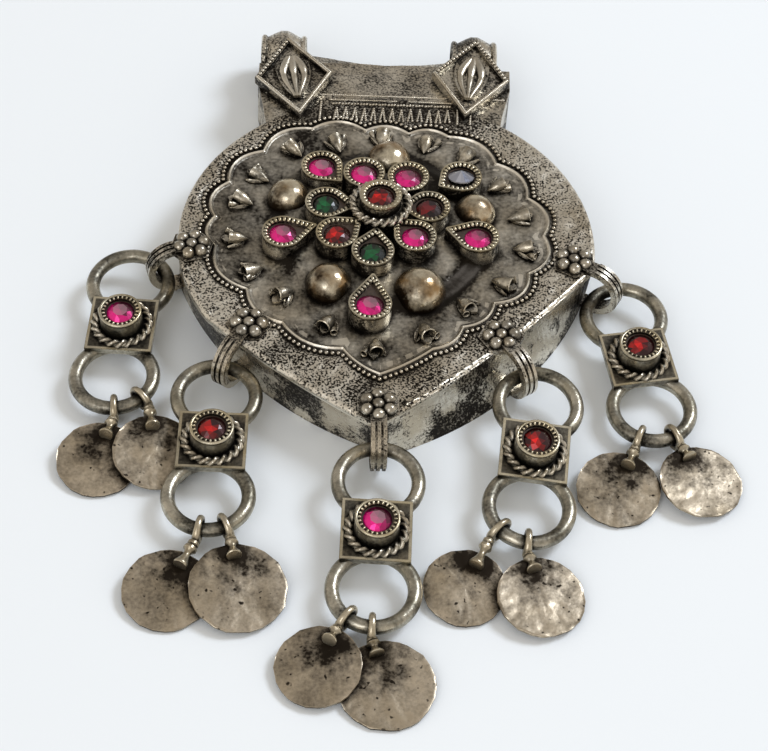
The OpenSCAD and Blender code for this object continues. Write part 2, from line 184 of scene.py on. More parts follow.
# Depth of the flecks' relief, strength of the dents, and how far stains outgrow blotches.
FLECK_DEPTH_MM, DENT_STRENGTH, STAIN_SPREAD = 0.06, 0.8, 1.7
WALL_PATCH_MM, GRAIN_MM = 9.0, 0.34


def shift_mix(tree, bright_mix, source, first, last, low, high, where=None):
    """Moves a value, such as the mix of bright metal, by low up to the first value of the source,
    and by high from the last one on.

    Where is a share, from 0 to 1, that holds the move to one region.
    """
    move = add_node(
        tree, "ShaderNodeMapRange", {"Value": source, 1: first, 2: last, 3: low, 4: high}
    ).outputs[0]
    if where:
        move = add_node(tree, "ShaderNodeMath", {0: where, 1: move}, operation="MULTIPLY").outputs[0]
    return add_node(tree, "ShaderNodeMath", {0: bright_mix, 1: move}, operation="ADD").outputs[0]


def oxidised_silver(
    name, worn=SILVER_WORN, stain=SILVER_STAIN, tarnish=SILVER_TARNISH, bright_mix=0.25, hollow_mm=1.3,
    blotch_mm=5.0, blotch_share=1.6, fleck_mm=0.5, fleck_share=0.5, stained=0.5,
    dent_mm=2.2, dent_depth_mm=0.12, grain=0.35, polish=0.26, dullness=0.5, masks=None,
):
    """Silver that has gone black in its hollows and is worn bright on its edges and high places.

    The mix of bright metal runs from 0, all tarnish, to 1, all bright, and starts at the given
    value. Blotches and flecks move it up and down by half their share, and masks move it place
    by place, some with wear and some with painted light and shade. Stained is the most of the
    bright colour that a stain takes. Polish and dullness are the roughness of bright and of
    tarnished metal.
    """
    material, tree, shader = new_material(name)
    place = add_node(tree, "ShaderNodeTexCoord").outputs["Object"]
    sizes = ((blotch_mm, 4.0), (fleck_mm, 2.0), (dent_mm, 2.0), (STAIN_SPREAD * blotch_mm, 3.0))
    blotch, fleck, dent, haze = (
        add_node(
            tree, "ShaderNodeTexNoise", {"Vector": place, "Scale": 1000 / size, "Detail": detail}
        ).outputs[0]
        for size, detail in sizes
    )
    hollow = add_node(
        tree, "ShaderNodeAmbientOcclusion", {"Distance": hollow_mm * TO_METRES}, samples=6
    )
    # Beside an edge the rounded normal leaves the true one, and their product falls below 1.
    rounded = add_node(tree, "ShaderNodeBevel", {"Radius": EDGE_MM * TO_METRES}, samples=4)
    true = add_node(tree, "ShaderNodeNewGeometry")
    same = add_node(
        tree, "ShaderNodeVectorMath", {0: rounded.outputs[0], 1: true.outputs["Normal"]},
        operation="DOT_PRODUCT",
    )
    for source, first, last, low, high in (
        (hollow.outputs["AO"], 0.0, 1.0, HOLLOW_LOSS, OPEN_GAIN),
        (blotch, 0.0, 1.0, -blotch_share / 2, blotch_share / 2),
        (fleck, 0.0, 1.0, -fleck_share / 2, fleck_share / 2),
        (same.outputs["Value"], 0.995, 0.88, 0.0, EDGE_GAIN),
    ):
        bright_mix = shift_mix(tree, bright_mix, source, first, last, low, high)
    if masks:
        bright_mix = masks(tree, place, bright_mix)
    bright_share = add_node(tree, "ShaderNodeClamp", {"Value": bright_mix}).outputs[0]
    stain_share = add_node(
        tree, "ShaderNodeMapRange", {"Value": haze, 1: 0.42, 2: 0.66, 3: 0.0, 4: stained}
    )
    bright = add_node(
        tree, "ShaderNodeMix", {0: stain_share.outputs[0], 6: linear(worn), 7: linear(stain)},
        data_type="RGBA",
    )
    colour = add_node(
        tree, "ShaderNodeMix", {0: bright_share, 6: linear(tarnish), 7: bright.outputs[2]},
        data_type="RGBA",
    )
    rough = add_node(tree, "ShaderNodeMapRange", {"Value": bright_share, 3: dullness, 4: polish})
    flecked = add_node(
        tree, "ShaderNodeBump", {"Height": fleck, "Strength": grain, "Distance": FLECK_DEPTH_MM * TO_METRES}
    )
    dented = add_node(tree, "ShaderNodeBump", {
        "Height": dent, "Strength": DENT_STRENGTH, "Distance": dent_depth_mm * TO_METRES,
        "Normal": flecked.outputs[0],
    })
    tree.links.new(colour.outputs[2], shader.inputs["Base Color"])
    tree.links.new(rough.outputs[0], shader.inputs["Roughness"])
    tree.links.new(dented.outputs[0], shader.inputs["Normal"])
    shader.inputs["Metallic"].default_value = METALLIC
    return material


def wall_wear(tree, place, bright_mix):
    """Ragged bright patches where the tarnish has been rubbed off, with grains of it left in them."""
    patch = add_node(tree, "ShaderNodeTexNoise", {
        "Vector": place, "Scale": 1000 / WALL_PATCH_MM, "Detail": 6.0, "Roughness": 0.62,
    })
    grains = add_node(tree, "ShaderNodeTexNoise", {
        "Vector": place, "Scale": 1000 / GRAIN_MM, "Detail": 2.0,
    })
    true = add_node(tree, "ShaderNodeNewGeometry")
    facing = add_node(tree, "ShaderNodeSeparateXYZ", {0: true.outputs["Normal"]})
    upright = add_node(
        tree, "ShaderNodeMapRange", {"Value": facing.outputs["Z"], 1: 0.3, 2: 0.8, 3: 1.0, 4: 0.25}
    ).outputs[0]
    bright_mix = shift_mix(tree, bright_mix, patch.outputs[0], 0.45, 0.55, -0.6, 0.75, upright)
    return shift_mix(tree, bright_mix, grains.outputs[0], 0.38, 0.6, -0.5, 0.3)


# Rolled and soldered sheet: a soft pale shine in the rubbed patches, dull black between them.
sheet_silver = oxidised_silver(
    "oxidised_sheet_silver", worn="#d8d1c1", bright_mix=0.36, hollow_mm=1.0, blotch_mm=4.0, fleck_share=1.0,
    masks=wall_wear,
)
case = frame["nodes"]["case"]
case.data.materials.clear()
case.data.materials.append(sheet_silver)

# Embossed face.
# One sheet is chased from behind: a low mound for the rosette, a field inside a scalloped
# line, and a rough rubbed border that is rolled over the edge of the box.
# The top of the box, and how far a piece that covers a solid stands out of it.
FACE_Z, PROUD = 9.0, 0.02
RELIEF_MIDDLE = np.array([0.3, -2.3])
# Angle and radius of each cusp of the scalloped line, and the rise of the lobe after it.
CUSPS = [
    (-90, 28.3, 0.04), (-70, 24.2, 0.16), (-54, 22.2, 0.18), (-35, 22.1, 0.22), (-14, 24.6, 0.22),
    (6, 26.8, 0.22), (25, 26.8, 0.2), (45, 27.3, 0.2), (66, 28.0, 0.2), (80, 26.4, 0.2),
    (96, 26.6, 0.22), (114, 29.0, 0.22), (134, 28.6, 0.22), (153, 28.4, 0.22), (170, 27.6, 0.22),
    (184, 26.8, 0.2), (208, 24.0, 0.18), (230, 23.8, 0.16), (256, 23.9, 0.08),
]
ROUND_MIDDLE, BOX_R = np.array([1.3, -1.2]), 33.9
FACE_LEFT, FACE_RIGHT, FACE_TIP, FLANK_R = (-25.6, -21.2), (34.3, -7.4), (-0.3, -40.8), 160
ANGLES = np.radians(np.arange(0, 360, 0.45))
# Steps of the mesh across the line, and the lines round which the sheet folds over the edge,
# each as a distance out from the edge and a height.
LINE_STEPS = (
    -0.6, -0.42, -0.28, -0.18, -0.09, 0, 0.09, 0.18, 0.28, 0.42, 0.6, 0.8, 1.0, 1.25, 1.5, 1.8, 2.1,
)
FOLDS = ((0.1, 8.62), (0.1, 8.3), (-0.3, 8.25), (-0.5, 8.6))
# Rise over the box of the field, its soft and small hills, and the sizes of those hills.
FIELD_RISE, SOFT_RISE, SMALL_RISE, SOFT_MM, SMALL_MM = 0.1, 0.1, 0.05, 3.4, 1.3
# The mound: middle, radius, rise, slope at its foot, and how far and how finely the foot strays.
MOUND_MIDDLE, MOUND_R, MOUND_RISE, MOUND_SLOPE = (0.0, 0.3), 15.9, 1.24, (-0.45, 2.4)
FOOT_STRAY, FOOT_MM = 0.8, 5.0
# The scalloped line is a wire's back, sunk a little, with a crest.
LINE_R, LINE_SUNK, CREST_RISE, CREST_WIDTH = 0.44, 0.03, 0.14, 0.13
BORDER_RISE, BORDER_ROUGH, BORDER_SLOPE = 0.16, 0.1, (1.6, 2.4)
# The rib along the lower flanks: rise, distance from the edge, width, and the y it stays below.
RIB_RISE, RIB_INSET, RIB_WIDTH, RIB_BELOW = 0.14, 0.7, 0.3, -9
ROLL_DEPTH, ROLL_WIDTH = 0.45, 0.55
FACE_PATCH_MM = 7.0


def eased_step(x, low, high):
    """Goes from 0 at low to 1 at high, with no corner at either."""
    t = np.clip((x - low) / (high - low), 0, 1)
    return t * t * (3 - 2 * t)


def unevenness(points, size):
    """Smooth noise from about -0.5 to 0.5 at each point, with hills of the given size."""
    values = [noise.noise(Vector(p) / size) for p in points.reshape(-1, 3)]
    return np.array(values).reshape(points.shape[:-1])


def circle_reach(angles, middle, radius):
    """Distance from the round middle to a circle about another middle, at each angle."""
    offset = np.asarray(middle) - ROUND_MIDDLE
    along = offset[0] * np.cos(angles) + offset[1] * np.sin(angles)
    return along + np.sqrt(along**2 - offset @ offset + radius**2)


def flank_middle(shoulder, side):
    """Middle of the wide circle that a flank follows from its shoulder to the tip."""
    shoulder, tip = np.array(shoulder), np.array(FACE_TIP)
    run = tip - shoulder
    length = np.linalg.norm(run)
    outward = np.array([run[1], -run[0]]) / length
    return (shoulder + tip) / 2 + side * outward * math.sqrt(FLANK_R**2 - (length / 2) ** 2)


def by_angle(points, angles):
    """Distance from the relief's middle to a closed outline, at each angle."""
    offset = points - RELIEF_MIDDLE
    turn = np.arctan2(offset[:, 1], offset[:, 0])
    return np.interp(angles, turn, np.linalg.norm(offset, axis=1), period=2 * math.pi)


def scallop_points():
    """The scalloped line: a shallow bow from each cusp to the next."""
    turns, reach, bows = np.array(CUSPS).T
    turns = np.radians(turns)
    cusps = RELIEF_MIDDLE + reach[:, None] * np.stack([np.cos(turns), np.sin(turns)], 1)
    points = []
    for start, end, bow in zip(cusps, np.roll(cusps, -1, axis=0), bows):
        run = end - start
        outward = np.array([run[1], -run[0]])
        points += [start + run * t + outward * bow * 4 * t * (1 - t) for t in np.arange(0, 1, 0.05)]
    return np.array(points)


def outline_points():
    """Edge of the box: a round shoulder, and below it two bowed flanks that meet in the tip."""
    turns = np.radians(np.arange(0, 360, 2))
    left, right = (
        circle_reach(turns, flank_middle(shoulder, side), FLANK_R)
        for shoulder, side in ((FACE_LEFT, -1), (FACE_RIGHT, 1))
    )
    flanks = np.minimum(left, right)
    first, last = (
        math.atan2(y - ROUND_MIDDLE[1], x - ROUND_MIDDLE[0]) % (2 * math.pi)
        for x, y in (FACE_LEFT, FACE_RIGHT)
    )
    lower = (turns > first) & (turns < last)
    reach = np.where(lower, flanks, np.minimum(BOX_R, flanks))
    return ROUND_MIDDLE + reach[:, None] * np.stack([np.cos(turns), np.sin(turns)], 1)


def around_relief(reach, z):
    """Points round the relief's middle, from a distance for each angle and a height."""
    x = RELIEF_MIDDLE[0] + reach * np.cos(ANGLES)
    y = RELIEF_MIDDLE[1] + reach * np.sin(ANGLES)
    return np.stack([x, y, np.broadcast_to(z, x.shape)], -1)


def facing_out(name, points, faces):
    """A mesh from points in millimetres, with all its faces turned outwards."""
    mesh = bpy.data.meshes.new(name)
    mesh.from_pydata((np.asarray(points) * TO_METRES).tolist(), [], faces)
    shell = bmesh.new()
    shell.from_mesh(mesh)
    bmesh.ops.recalc_face_normals(shell, faces=shell.faces)
    shell.to_mesh(mesh)
    shell.free()
    return mesh


def loft(name, rings, closed=False, crease=40):
    """A closed mesh through rings of points: capped at its two ends, or joined end to end."""
    rings = np.asarray(rings, float)
    count, around = rings.shape[:2]
    points = rings.reshape(-1, 3)
    k, j = np.meshgrid(np.arange(count if closed else count - 1), np.arange(around), indexing="ij")
    after, beside = (k + 1) % count * around, (j + 1) % around
    corners = [k * around + j, k * around + beside, after + beside, after + j]
    faces = np.stack(corners, -1).reshape(-1, 4).tolist()
    if not closed:
        points = np.vstack([points, rings[0].mean(0), rings[-1].mean(0)])
        low, high = len(points) - 2, len(points) - 1
        last = (count - 1) * around
        faces += [(low, (m + 1) % around, m) for m in range(around)]
        faces += [(high, last + m, last + (m + 1) % around) for m in range(around)]
    mesh = facing_out(name, points, faces)
    mesh.polygons.foreach_set("use_smooth", [True] * len(mesh.polygons))
    mesh.set_sharp_from_angle(angle=math.radians(crease))
    return mesh


def hold(mesh, name, values, domain="POINT"):
    """Keeps one number for each point or face, for a material to read."""
    held = mesh.attributes.new(name, "FLOAT", domain)
    held.data.foreach_set("value", np.asarray(values, np.float32))


def new_piece(name, mesh, material):
    """An object at the origin from one mesh and one material."""
    mesh.materials.clear()
    mesh.materials.append(material)
    piece = bpy.data.objects.new(name, mesh)
    bpy.context.scene.collection.objects.link(piece)
    return piece


line = by_angle(scallop_points(), ANGLES)
edge = by_angle(outline_points(), ANGLES)
rings = [line * step for step in np.concatenate([np.linspace(0.02, 0.5, 12), np.linspace(0.52, 0.965, 28)])]
rings += [line + np.minimum(step, (edge - line) * step / 2.6) for step in LINE_STEPS]
inner = rings[-1]
rings += [inner + (edge - inner) * step for step in 1 - (1 - np.linspace(0.12, 1, 16)) ** 1.6]
radius = np.array(rings)
spot = around_relief(radius, 0.0)
# A shift of the points gives another pattern of the same noise.
soft, small = unevenness(spot, SOFT_MM), unevenness(spot + 40, SMALL_MM)
from_line, from_edge = radius - line, edge - radius
from_mound = np.hypot(spot[..., 0] - MOUND_MIDDLE[0], spot[..., 1] - MOUND_MIDDLE[1])
foot = MOUND_R + FOOT_STRAY * np.maximum(0, unevenness(spot + 9, FOOT_MM))
on_border = eased_step(from_line, *BORDER_SLOPE)
rise = FIELD_RISE + SOFT_RISE * soft + SMALL_RISE * small
rise += MOUND_RISE * (1 - eased_step(from_mound - foot, *MOUND_SLOPE))
rise = np.maximum(rise, np.sqrt(np.maximum(0, LINE_R**2 - from_line**2)) - LINE_SUNK)
rise += CREST_RISE * np.exp(-((from_line / CREST_WIDTH) ** 2))
rise += (BORDER_RISE + BORDER_ROUGH * small) * on_border
rise += RIB_RISE * np.exp(-(((from_edge - RIB_INSET) / RIB_WIDTH) ** 2)) * (spot[..., 1] < RIB_BELOW)
rise -= ROLL_DEPTH * (1 - np.sqrt(1 - np.clip(1 - from_edge / ROLL_WIDTH, 0, 1) ** 2))
face_rings = [around_relief(radius, FACE_Z + np.maximum(rise, PROUD))]
face_rings += [around_relief(edge + out, z)[None] for out, z in FOLDS]
face_mesh = loft("embossed_face", np.concatenate(face_rings), crease=60)
spare = np.zeros(len(face_mesh.vertices) - radius.size)
# Distance from a ring just outside the mound's foot, where the face's finish paints shade.
from_slope = np.abs(from_mound - MOUND_R - 0.9)
for name, values in (("from_line", from_line), ("from_edge", from_edge), ("from_slope", from_slope)):
    hold(face_mesh, name, np.concatenate([values.ravel(), spare]))


def face_wear_and_painted_light(tree, place, bright_mix):
    """Dark field and groove, a bright line, a peppered border, and bright lower flanks, with painted
    shade on the slope round the mound's foot and painted light on the right of the border. The
    border is also lighter at its far left and darker along its top.
    """
    from_line, from_edge, slope = (
        add_node(tree, "ShaderNodeAttribute", attribute_name=name).outputs["Fac"]
        for name in ("from_line", "from_edge", "from_slope")
    )
    beside = add_node(tree, "ShaderNodeMath", {0: from_line}, operation="ABSOLUTE").outputs[0]
    pepper, patch = (
        add_node(
            tree, "ShaderNodeTexNoise", {"Vector": place, "Scale": 1000 / size, "Detail": detail}
        ).outputs[0]
        for size, detail in ((GRAIN_MM, 3.0), (FACE_PATCH_MM, 5.0))
    )
    parts = add_node(tree, "ShaderNodeSeparateXYZ", {0: place})
    x, y = parts.outputs["X"], parts.outputs["Y"]
    border, low_end, rightwards, groove = (
        add_node(
            tree, "ShaderNodeMapRange", {"Value": source, 1: first, 2: last, 3: low, 4: high}
        ).outputs[0]
        for source, first, last, low, high in (
            (from_line, 1.4, 2.2, 0.0, 1.0), (y, -0.026, -0.014, 1.0, 0.0),
            (x, -0.006, 0.006, 0.4, 1.0), (from_line, 0.2, 0.45, 0.0, 1.0),
        )
    )
    low_border = add_node(tree, "ShaderNodeMath", {0: border, 1: low_end}, operation="MULTIPLY").outputs[0]
    # Distances from the line, slope and edge are millimetres, and x and y are metres.
    for source, first, last, low, high, where in (
        (beside, 0.12, 0.34, 1.1, 0.0, None),
        # Painted shade on the slope round the mound's foot, strongest on the right, where the lamp falls.
        (slope, 0.3, 2.8, -1.0, 0.0, rightwards),
        (from_line, 1.3, 1.9, -0.4, 0.0, groove),
        (from_edge, 0.15, 0.8, 0.55, 0.0, None),
        (pepper, 0.41, 0.55, -1.25, 0.7, border),
        (patch, 0.42, 0.56, -0.35, 0.65, low_border),
        # Painted light: the right of the border is brighter, on the side towards the lamp.
        (x, 0.014, 0.03, 0.0, 0.8, border),
        # The far left of the border is lighter, and its top darker.
        (x, -0.026, -0.012, 0.3, 0.0, border),
        (y, 0.023, 0.027, 0.0, -0.7, border),
    ):
        bright_mix = shift_mix(tree, bright_mix, source, first, last, low, high, where)
    return bright_mix


# Chased sheet: a dusky field, one bright line, and a border that is rubbed and peppered black,
# with painted shade round the mound's foot and painted light on the right of the border.
face_silver = oxidised_silver(
    "chased_sheet_silver", worn="#e2dccd", bright_mix=0.2, blotch_mm=6.0, blotch_share=1.9, fleck_mm=0.6,
    fleck_share=0.9, polish=0.34, dullness=0.4, grain=0.5, masks=face_wear_and_painted_light,
)
face_piece = new_piece("embossed_face", face_mesh, face_silver)
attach(face_piece, "root")

# Beads along the scalloped line.
# A row of small raised beads, punched into the sheet from behind just outside the line. The
# same node tree makes every row of marks, such as the notches of the rims.
BEAD_PITCH, BEAD_R, BEAD_OUT, BEAD_LIFT = 0.94, 0.34, 1.15, 0.3


def stamped_row_tree():
    """Rounded marks set along a curve: their pitch, and their size along, across and up."""
    tree = bpy.data.node_groups.new("stamped_row", "GeometryNodeTree")
    tree.interface.new_socket("Geometry", in_out="INPUT", socket_type="NodeSocketGeometry")
    for name in ("Pitch", "Along", "Across", "Height"):
        tree.interface.new_socket(name, in_out="INPUT", socket_type="NodeSocketFloat")
    tree.interface.new_socket("Material", in_out="INPUT", socket_type="NodeSocketMaterial")
    tree.interface.new_socket("Geometry", in_out="OUTPUT", socket_type="NodeSocketGeometry")
    given = add_node(tree, "NodeGroupInput").outputs
    mark = add_node(tree, "GeometryNodeMeshIcoSphere", {"Radius": 1.0, "Subdivisions": 2})
    size = add_node(
        tree, "ShaderNodeCombineXYZ", {0: given["Along"], 1: given["Across"], 2: given["Height"]}
    )
    sized = add_node(
        tree, "GeometryNodeTransform", {"Geometry": mark.outputs[0], "Scale": size.outputs[0]}
    )
    steps = add_node(
        tree, "GeometryNodeCurveToPoints", {"Curve": given["Geometry"], "Length": given["Pitch"]},
        mode="LENGTH",
    )
    way = add_node(
        tree, "FunctionNodeAlignRotationToVector", {"Vector": steps.outputs["Tangent"]},
        axis="X", pivot_axis="Z",
    )
    row = add_node(tree, "GeometryNodeInstanceOnPoints", {
        "Points": steps.outputs["Points"], "Instance": sized.outputs[0], "Rotation": way.outputs[0],
    })
    real = add_node(tree, "GeometryNodeRealizeInstances", {"Geometry": row.outputs[0]})
    rounded = add_node(tree, "GeometryNodeSetShadeSmooth", {"Geometry": real.outputs[0]})
    finished = add_node(
        tree, "GeometryNodeSetMaterial", {"Geometry": rounded.outputs[0], "Material": given["Material"]}
    )
    add_node(tree, "NodeGroupOutput", {"Geometry": finished.outputs[0]})
    return tree


STAMPED_ROW = stamped_row_tree()


def stamped_row(name, paths, material, pitch, along, across, height, stand=None):
    """A finished piece of marks along paths, each of them its points and whether it closes."""
    curve = bpy.data.curves.new(name, "CURVE")
    curve.dimensions = "3D"
    for points, closes in paths:
        spline = curve.splines.new("POLY")
        spline.points.add(len(points) - 1)
        spline.use_cyclic_u = closes
        spline.points.foreach_set("co", [c for p in points for c in (*(np.array(p) * TO_METRES), 1.0)])
    holder = bpy.data.objects.new(name + "_path", curve)
    bpy.context.scene.collection.objects.link(holder)
    maker = holder.modifiers.new("marks", "NODES")
    maker.node_group = STAMPED_ROW
    sizes = {"Pitch": pitch, "Along": along, "Across": across, "Height": height}
    for socket in STAMPED_ROW.interface.items_tree:
        if socket.in_out == "INPUT" and socket.name in sizes:
            maker[socket.identifier] = sizes[socket.name] * TO_METRES
        elif socket.name == "Material":
            maker[socket.identifier] = material
    bpy.context.view_layer.update()
    made = holder.evaluated_get(bpy.context.evaluated_depsgraph_get())
    mesh = bpy.data.meshes.new_from_object(made)
    holder.modifiers.remove(maker)
    bpy.data.objects.remove(holder)
    mesh.name = name
    if stand:
        mesh.transform(stand)
    return new_piece(name, mesh, material)


# Punched beads: rubbed tops make a row of bright points, with black left between them.
bead_silver = oxidised_silver(
    "punched_bead_silver", bright_mix=0.62, hollow_mm=0.6, blotch_share=1.0, dent_depth_mm=0.02
)
bead_path = around_relief(line + BEAD_OUT, FACE_Z + BEAD_LIFT)
beads = stamped_row("scallop_beads", [(bead_path, True)], bead_silver, BEAD_PITCH, BEAD_R, BEAD_R, BEAD_R)
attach(beads, "root")

# Rosette settings.
# Thirteen cups of strip silver, filled with dark resin round each stone, with a rim that is
# filed into notches; two of the glasses are gone dark, and one has turned over.
ROSETTE, PEAR_R, INNER_TOP, OUTER_TOP = (0.0, 1.5), 3.4, 4.2, 3.3
# Each row: x, y, and length from stone to tip.
INNER_PEARS = [
    (-1.1, -8, 5.2), (5.7, -4.4, 5.0), (8, 2.3, 5.0), (4.6, 9.2, 4.8), (-2.7, 9.8, 4.8),
    (-8.8, 2.5, 5.2), (-6.9, -4.3, 5.2),
]
OUTER_PEARS = [
    (-1.4, -18.7, 6.6), (15.9, -3.3, 5.6), (13.4, 10.5, 4.6), (-9.7, 12, 5.0), (-15.6, -3.6, 5.8),
]
PEARS = [(*row, INNER_TOP) for row in INNER_PEARS] + [(*row, OUTER_TOP) for row in OUTER_PEARS]
CENTRE, CENTRE_TOP, CENTRE_R = (0.0, 2.0), 6.8, 3.4
STONE_R, RIM_T, LIP_T = 2.15, 0.95, 0.24
# From where to where the bed, the lip and the resin reach, counted from the height of the rim.
BED, LIP, FILL = (-0.3, 0.05), (-0.1, 0.24), (-0.55, -0.4)
# Pitch, and size along, across and up, of a notch.
PEAR_NOTCH, CENTRE_NOTCH = (0.78, 0.35, 0.53, 0.34), (0.78, 0.42, 0.56, 0.3)
RESIN_BROWN, RESIN_DUST, DUST_MM, SKIN_DEPTH_MM = "#171010", "#4f3f30", 0.5, 0.1


def pear_points(x, y, tip, radius, z):
    """Outline of a drop shape, in the proportions of its row: an arc and two lines to the tip."""
    tip = radius * tip / PEAR_R
    heading = math.atan2(ROSETTE[1] - y, ROSETTE[0] - x)
    touch = math.acos(radius / tip)
    turns = np.linspace(touch, 2 * math.pi - touch, 96)
    arc = [(radius * math.cos(t), radius * math.sin(t)) for t in turns]
    first, last, point = np.array(arc[0]), np.array(arc[-1]), np.array([tip, 0.0])
    flat = arc + [last + (point - last) * t for t in np.linspace(0.08, 0.94, 12)]
    flat += [point + (first - point) * t for t in np.linspace(0.06, 0.92, 12)]
    c, s = math.cos(heading), math.sin(heading)
    return np.array([(x + c * u - s * v, y + s * u + c * v, z) for u, v in flat])


def ring_points(middle, across, up, count):
    """Points round a middle, on an ellipse with these two half widths as its axes."""
    turns = np.linspace(0, 2 * math.pi, count, endpoint=False)
    return np.array(middle) + np.outer(np.cos(turns), across) + np.outer(np.sin(turns), up)


def round_points(x, y, radius, z, count=72):
    """A level circle."""
    return ring_points((x, y, z), (radius, 0, 0), (0, radius, 0), count)


def flat_ring(outer, inner, z, span):
    """A flat ring between two outlines with as many points, over this span from a height."""
    low, high = z + span[0], z + span[1]
    return loft("flat_ring", [
        np.column_stack([outline[:, :2], np.full(len(outline), level)])
        for outline, level in ((inner, low), (outer, low), (outer, high), (inner, high))
    ], closed=True)


def join(name, meshes):
    """One mesh out of several, which keep their own points."""
    whole = bmesh.new()
    for mesh in meshes:
        whole.from_mesh(mesh)
    joined = bpy.data.meshes.new(name)
    whole.to_mesh(joined)
    whole.free()
    joined.polygons.foreach_set("use_smooth", [True] * len(joined.polygons))
    joined.set_sharp_from_angle(angle=math.radians(40))
    return joined


rims, beds, lips, fills = [], [], [], []
for x, y, tip, top in PEARS:
    z = FACE_Z + top
    outer, lip, rim, inner = (
        pear_points(x, y, tip, PEAR_R + step, z) for step in (PROUD, -LIP_T, -RIM_T / 2, -RIM_T)
    )
    offset = inner[:, :2] - (x, y)
    stone = (x, y) + offset * (STONE_R + PROUD) / np.linalg.norm(offset, axis=1)[:, None]
    rims.append((rim, True))
    beds.append(flat_ring(outer, inner, z, BED))
    lips.append(flat_ring(outer, lip, z, LIP))
    fills.append(flat_ring(inner, stone, z, FILL))
z = FACE_Z + CENTRE_TOP
outer, lip, centre_rim, inner, stone = (
    round_points(*CENTRE, radius, z)
    for radius in (
        CENTRE_R + PROUD, CENTRE_R - 2 * LIP_T, CENTRE_R - RIM_T / 2, CENTRE_R - RIM_T, STONE_R + PROUD
    )
)
beds.append(flat_ring(outer, inner, z, BED))
lips.append(flat_ring(outer, lip, z, LIP))
fills.append(flat_ring(inner, stone, z, FILL))
# Filed strip: each tooth catches its own small light, in a warm grey.
rim_silver = oxidised_silver(
    "notched_rim_silver", worn="#d8cfb6", stain="#a8935f", bright_mix=0.56, hollow_mm=0.5, blotch_mm=3.0,
    blotch_share=2.0, dent_depth_mm=0.02,
)
# The ground of the notches was never rubbed: nearly black, so the teeth stand out.
bed_silver = oxidised_silver(
    "tarnished_notch_silver", worn="#7c7364", tarnish="#1b1712", bright_mix=0.12, dent_depth_mm=0.02
)
for piece in (
    stamped_row("rosette_notches", rims, rim_silver, *PEAR_NOTCH),
    stamped_row("centre_notches", [(centre_rim, True)], rim_silver, *CENTRE_NOTCH),
    new_piece("rosette_rim_lips", join("rosette_rim_lips", lips), rim_silver),
    new_piece("rosette_rim_beds", join("rosette_rim_beds", beds), bed_silver),
):
    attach(piece, "root")

# Poured resin: brown black between a stone and its rim, with a dull and dusty skin.
resin_brown, tree, shader = new_material("dark_resin")
place = add_node(tree, "ShaderNodeTexCoord").outputs["Object"]
dust = add_node(tree, "ShaderNodeTexNoise", {"Vector": place, "Scale": 1000 / DUST_MM, "Detail": 3.0})
shade = add_node(
    tree, "ShaderNodeMix", {0: dust.outputs[0], 6: linear(RESIN_BROWN), 7: linear(RESIN_DUST)},
    data_type="RGBA",
)
skin = add_node(tree, "ShaderNodeBump", {
    "Height": dust.outputs[0], "Strength": 0.6, "Distance": SKIN_DEPTH_MM * TO_METRES,
})
tree.links.new(shade.outputs[2], shader.inputs["Base Color"])
tree.links.new(skin.outputs[0], shader.inputs["Normal"])
shader.inputs["Roughness"].default_value = 0.5
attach(new_piece("setting_resin", join("setting_resin", fills), resin_brown), "root")

# Rope round the middle cup.
# Two silver wires are twisted together, bent into a ring and soldered to the cup under its rim.
ROPE_R, ROPE_TWISTS, ROPE_DROP = 4.5, 22, 1.9
STRAND_R, STRAND_OFFSET, ROPE_STEPS = 0.42, 0.36, 264


def rope_ring(name, ring_r, z, twists):
    """Two wires wound round each other and closed into a ring."""
    strands = []
    for start in (0, math.pi):
        rings = []
        for turn in np.linspace(0, 2 * math.pi, ROPE_STEPS, endpoint=False):
            wind = twists * turn / 2 + start
            way = np.array([math.cos(turn), math.sin(turn), 0])
            middle = way * (ring_r + STRAND_OFFSET * math.cos(wind))
            middle[2] = z + STRAND_OFFSET * math.sin(wind)
            rings.append(ring_points(middle, way * STRAND_R, (0, 0, STRAND_R), 10))
        strands.append(loft("strand", rings, closed=True))
    return join(name, strands)


rope_mesh = rope_ring("centre_rope", ROPE_R, CENTRE_TOP - ROPE_DROP, ROPE_TWISTS)
rope_mesh.transform(moved(*CENTRE, FACE_Z))
# Twisted wire: the outside of each turn is rubbed bright, and the grooves are black.
rope_silver = oxidised_silver(
    "twisted_wire_silver", bright_mix=0.62, hollow_mm=0.9, blotch_share=0.8, dent_depth_mm=0.02
)
centre_rope = new_piece("centre_rope", rope_mesh, rope_silver)
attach(centre_rope, "root")

# Domes.
# Five hollow half balls pressed from thin sheet and soldered to the mound; rubbing keeps
# their tops bright and warm, and painted shade turns their skirts and their left sides brown.
DOMES = [(1.5, 16.3, 3.6), (-15, 6.8, 3.4), (-8, -12.4, 3.6), (6.5, -13.4, 4.1), (15.7, 4.7, 3.3)]
# Height of the middle, degrees of each ring of points over it, and the size of the bumps.
DOME_Z, DOME_LIFTS = 9.4, (88, *np.linspace(82, -12, 22))
DOME_PROUD, BUMP_RISE, BUMP_MM = 0.05, 0.1, 3.0


def dome_mesh(x, y, radius):
    """A half ball with a few soft bumps."""
    ball = np.array([
        ring_points((0, 0, math.sin(lift)), (math.cos(lift), 0, 0), (0, math.cos(lift), 0), 56)
        for lift in np.radians(DOME_LIFTS)
    ])
    bumps = 0.5 + np.clip(unevenness(ball * radius + x, BUMP_MM), -0.5, 0.3)
    size = radius + DOME_PROUD + BUMP_RISE * bumps
    return loft("dome", ball * size[..., None] + (x, y, DOME_Z))


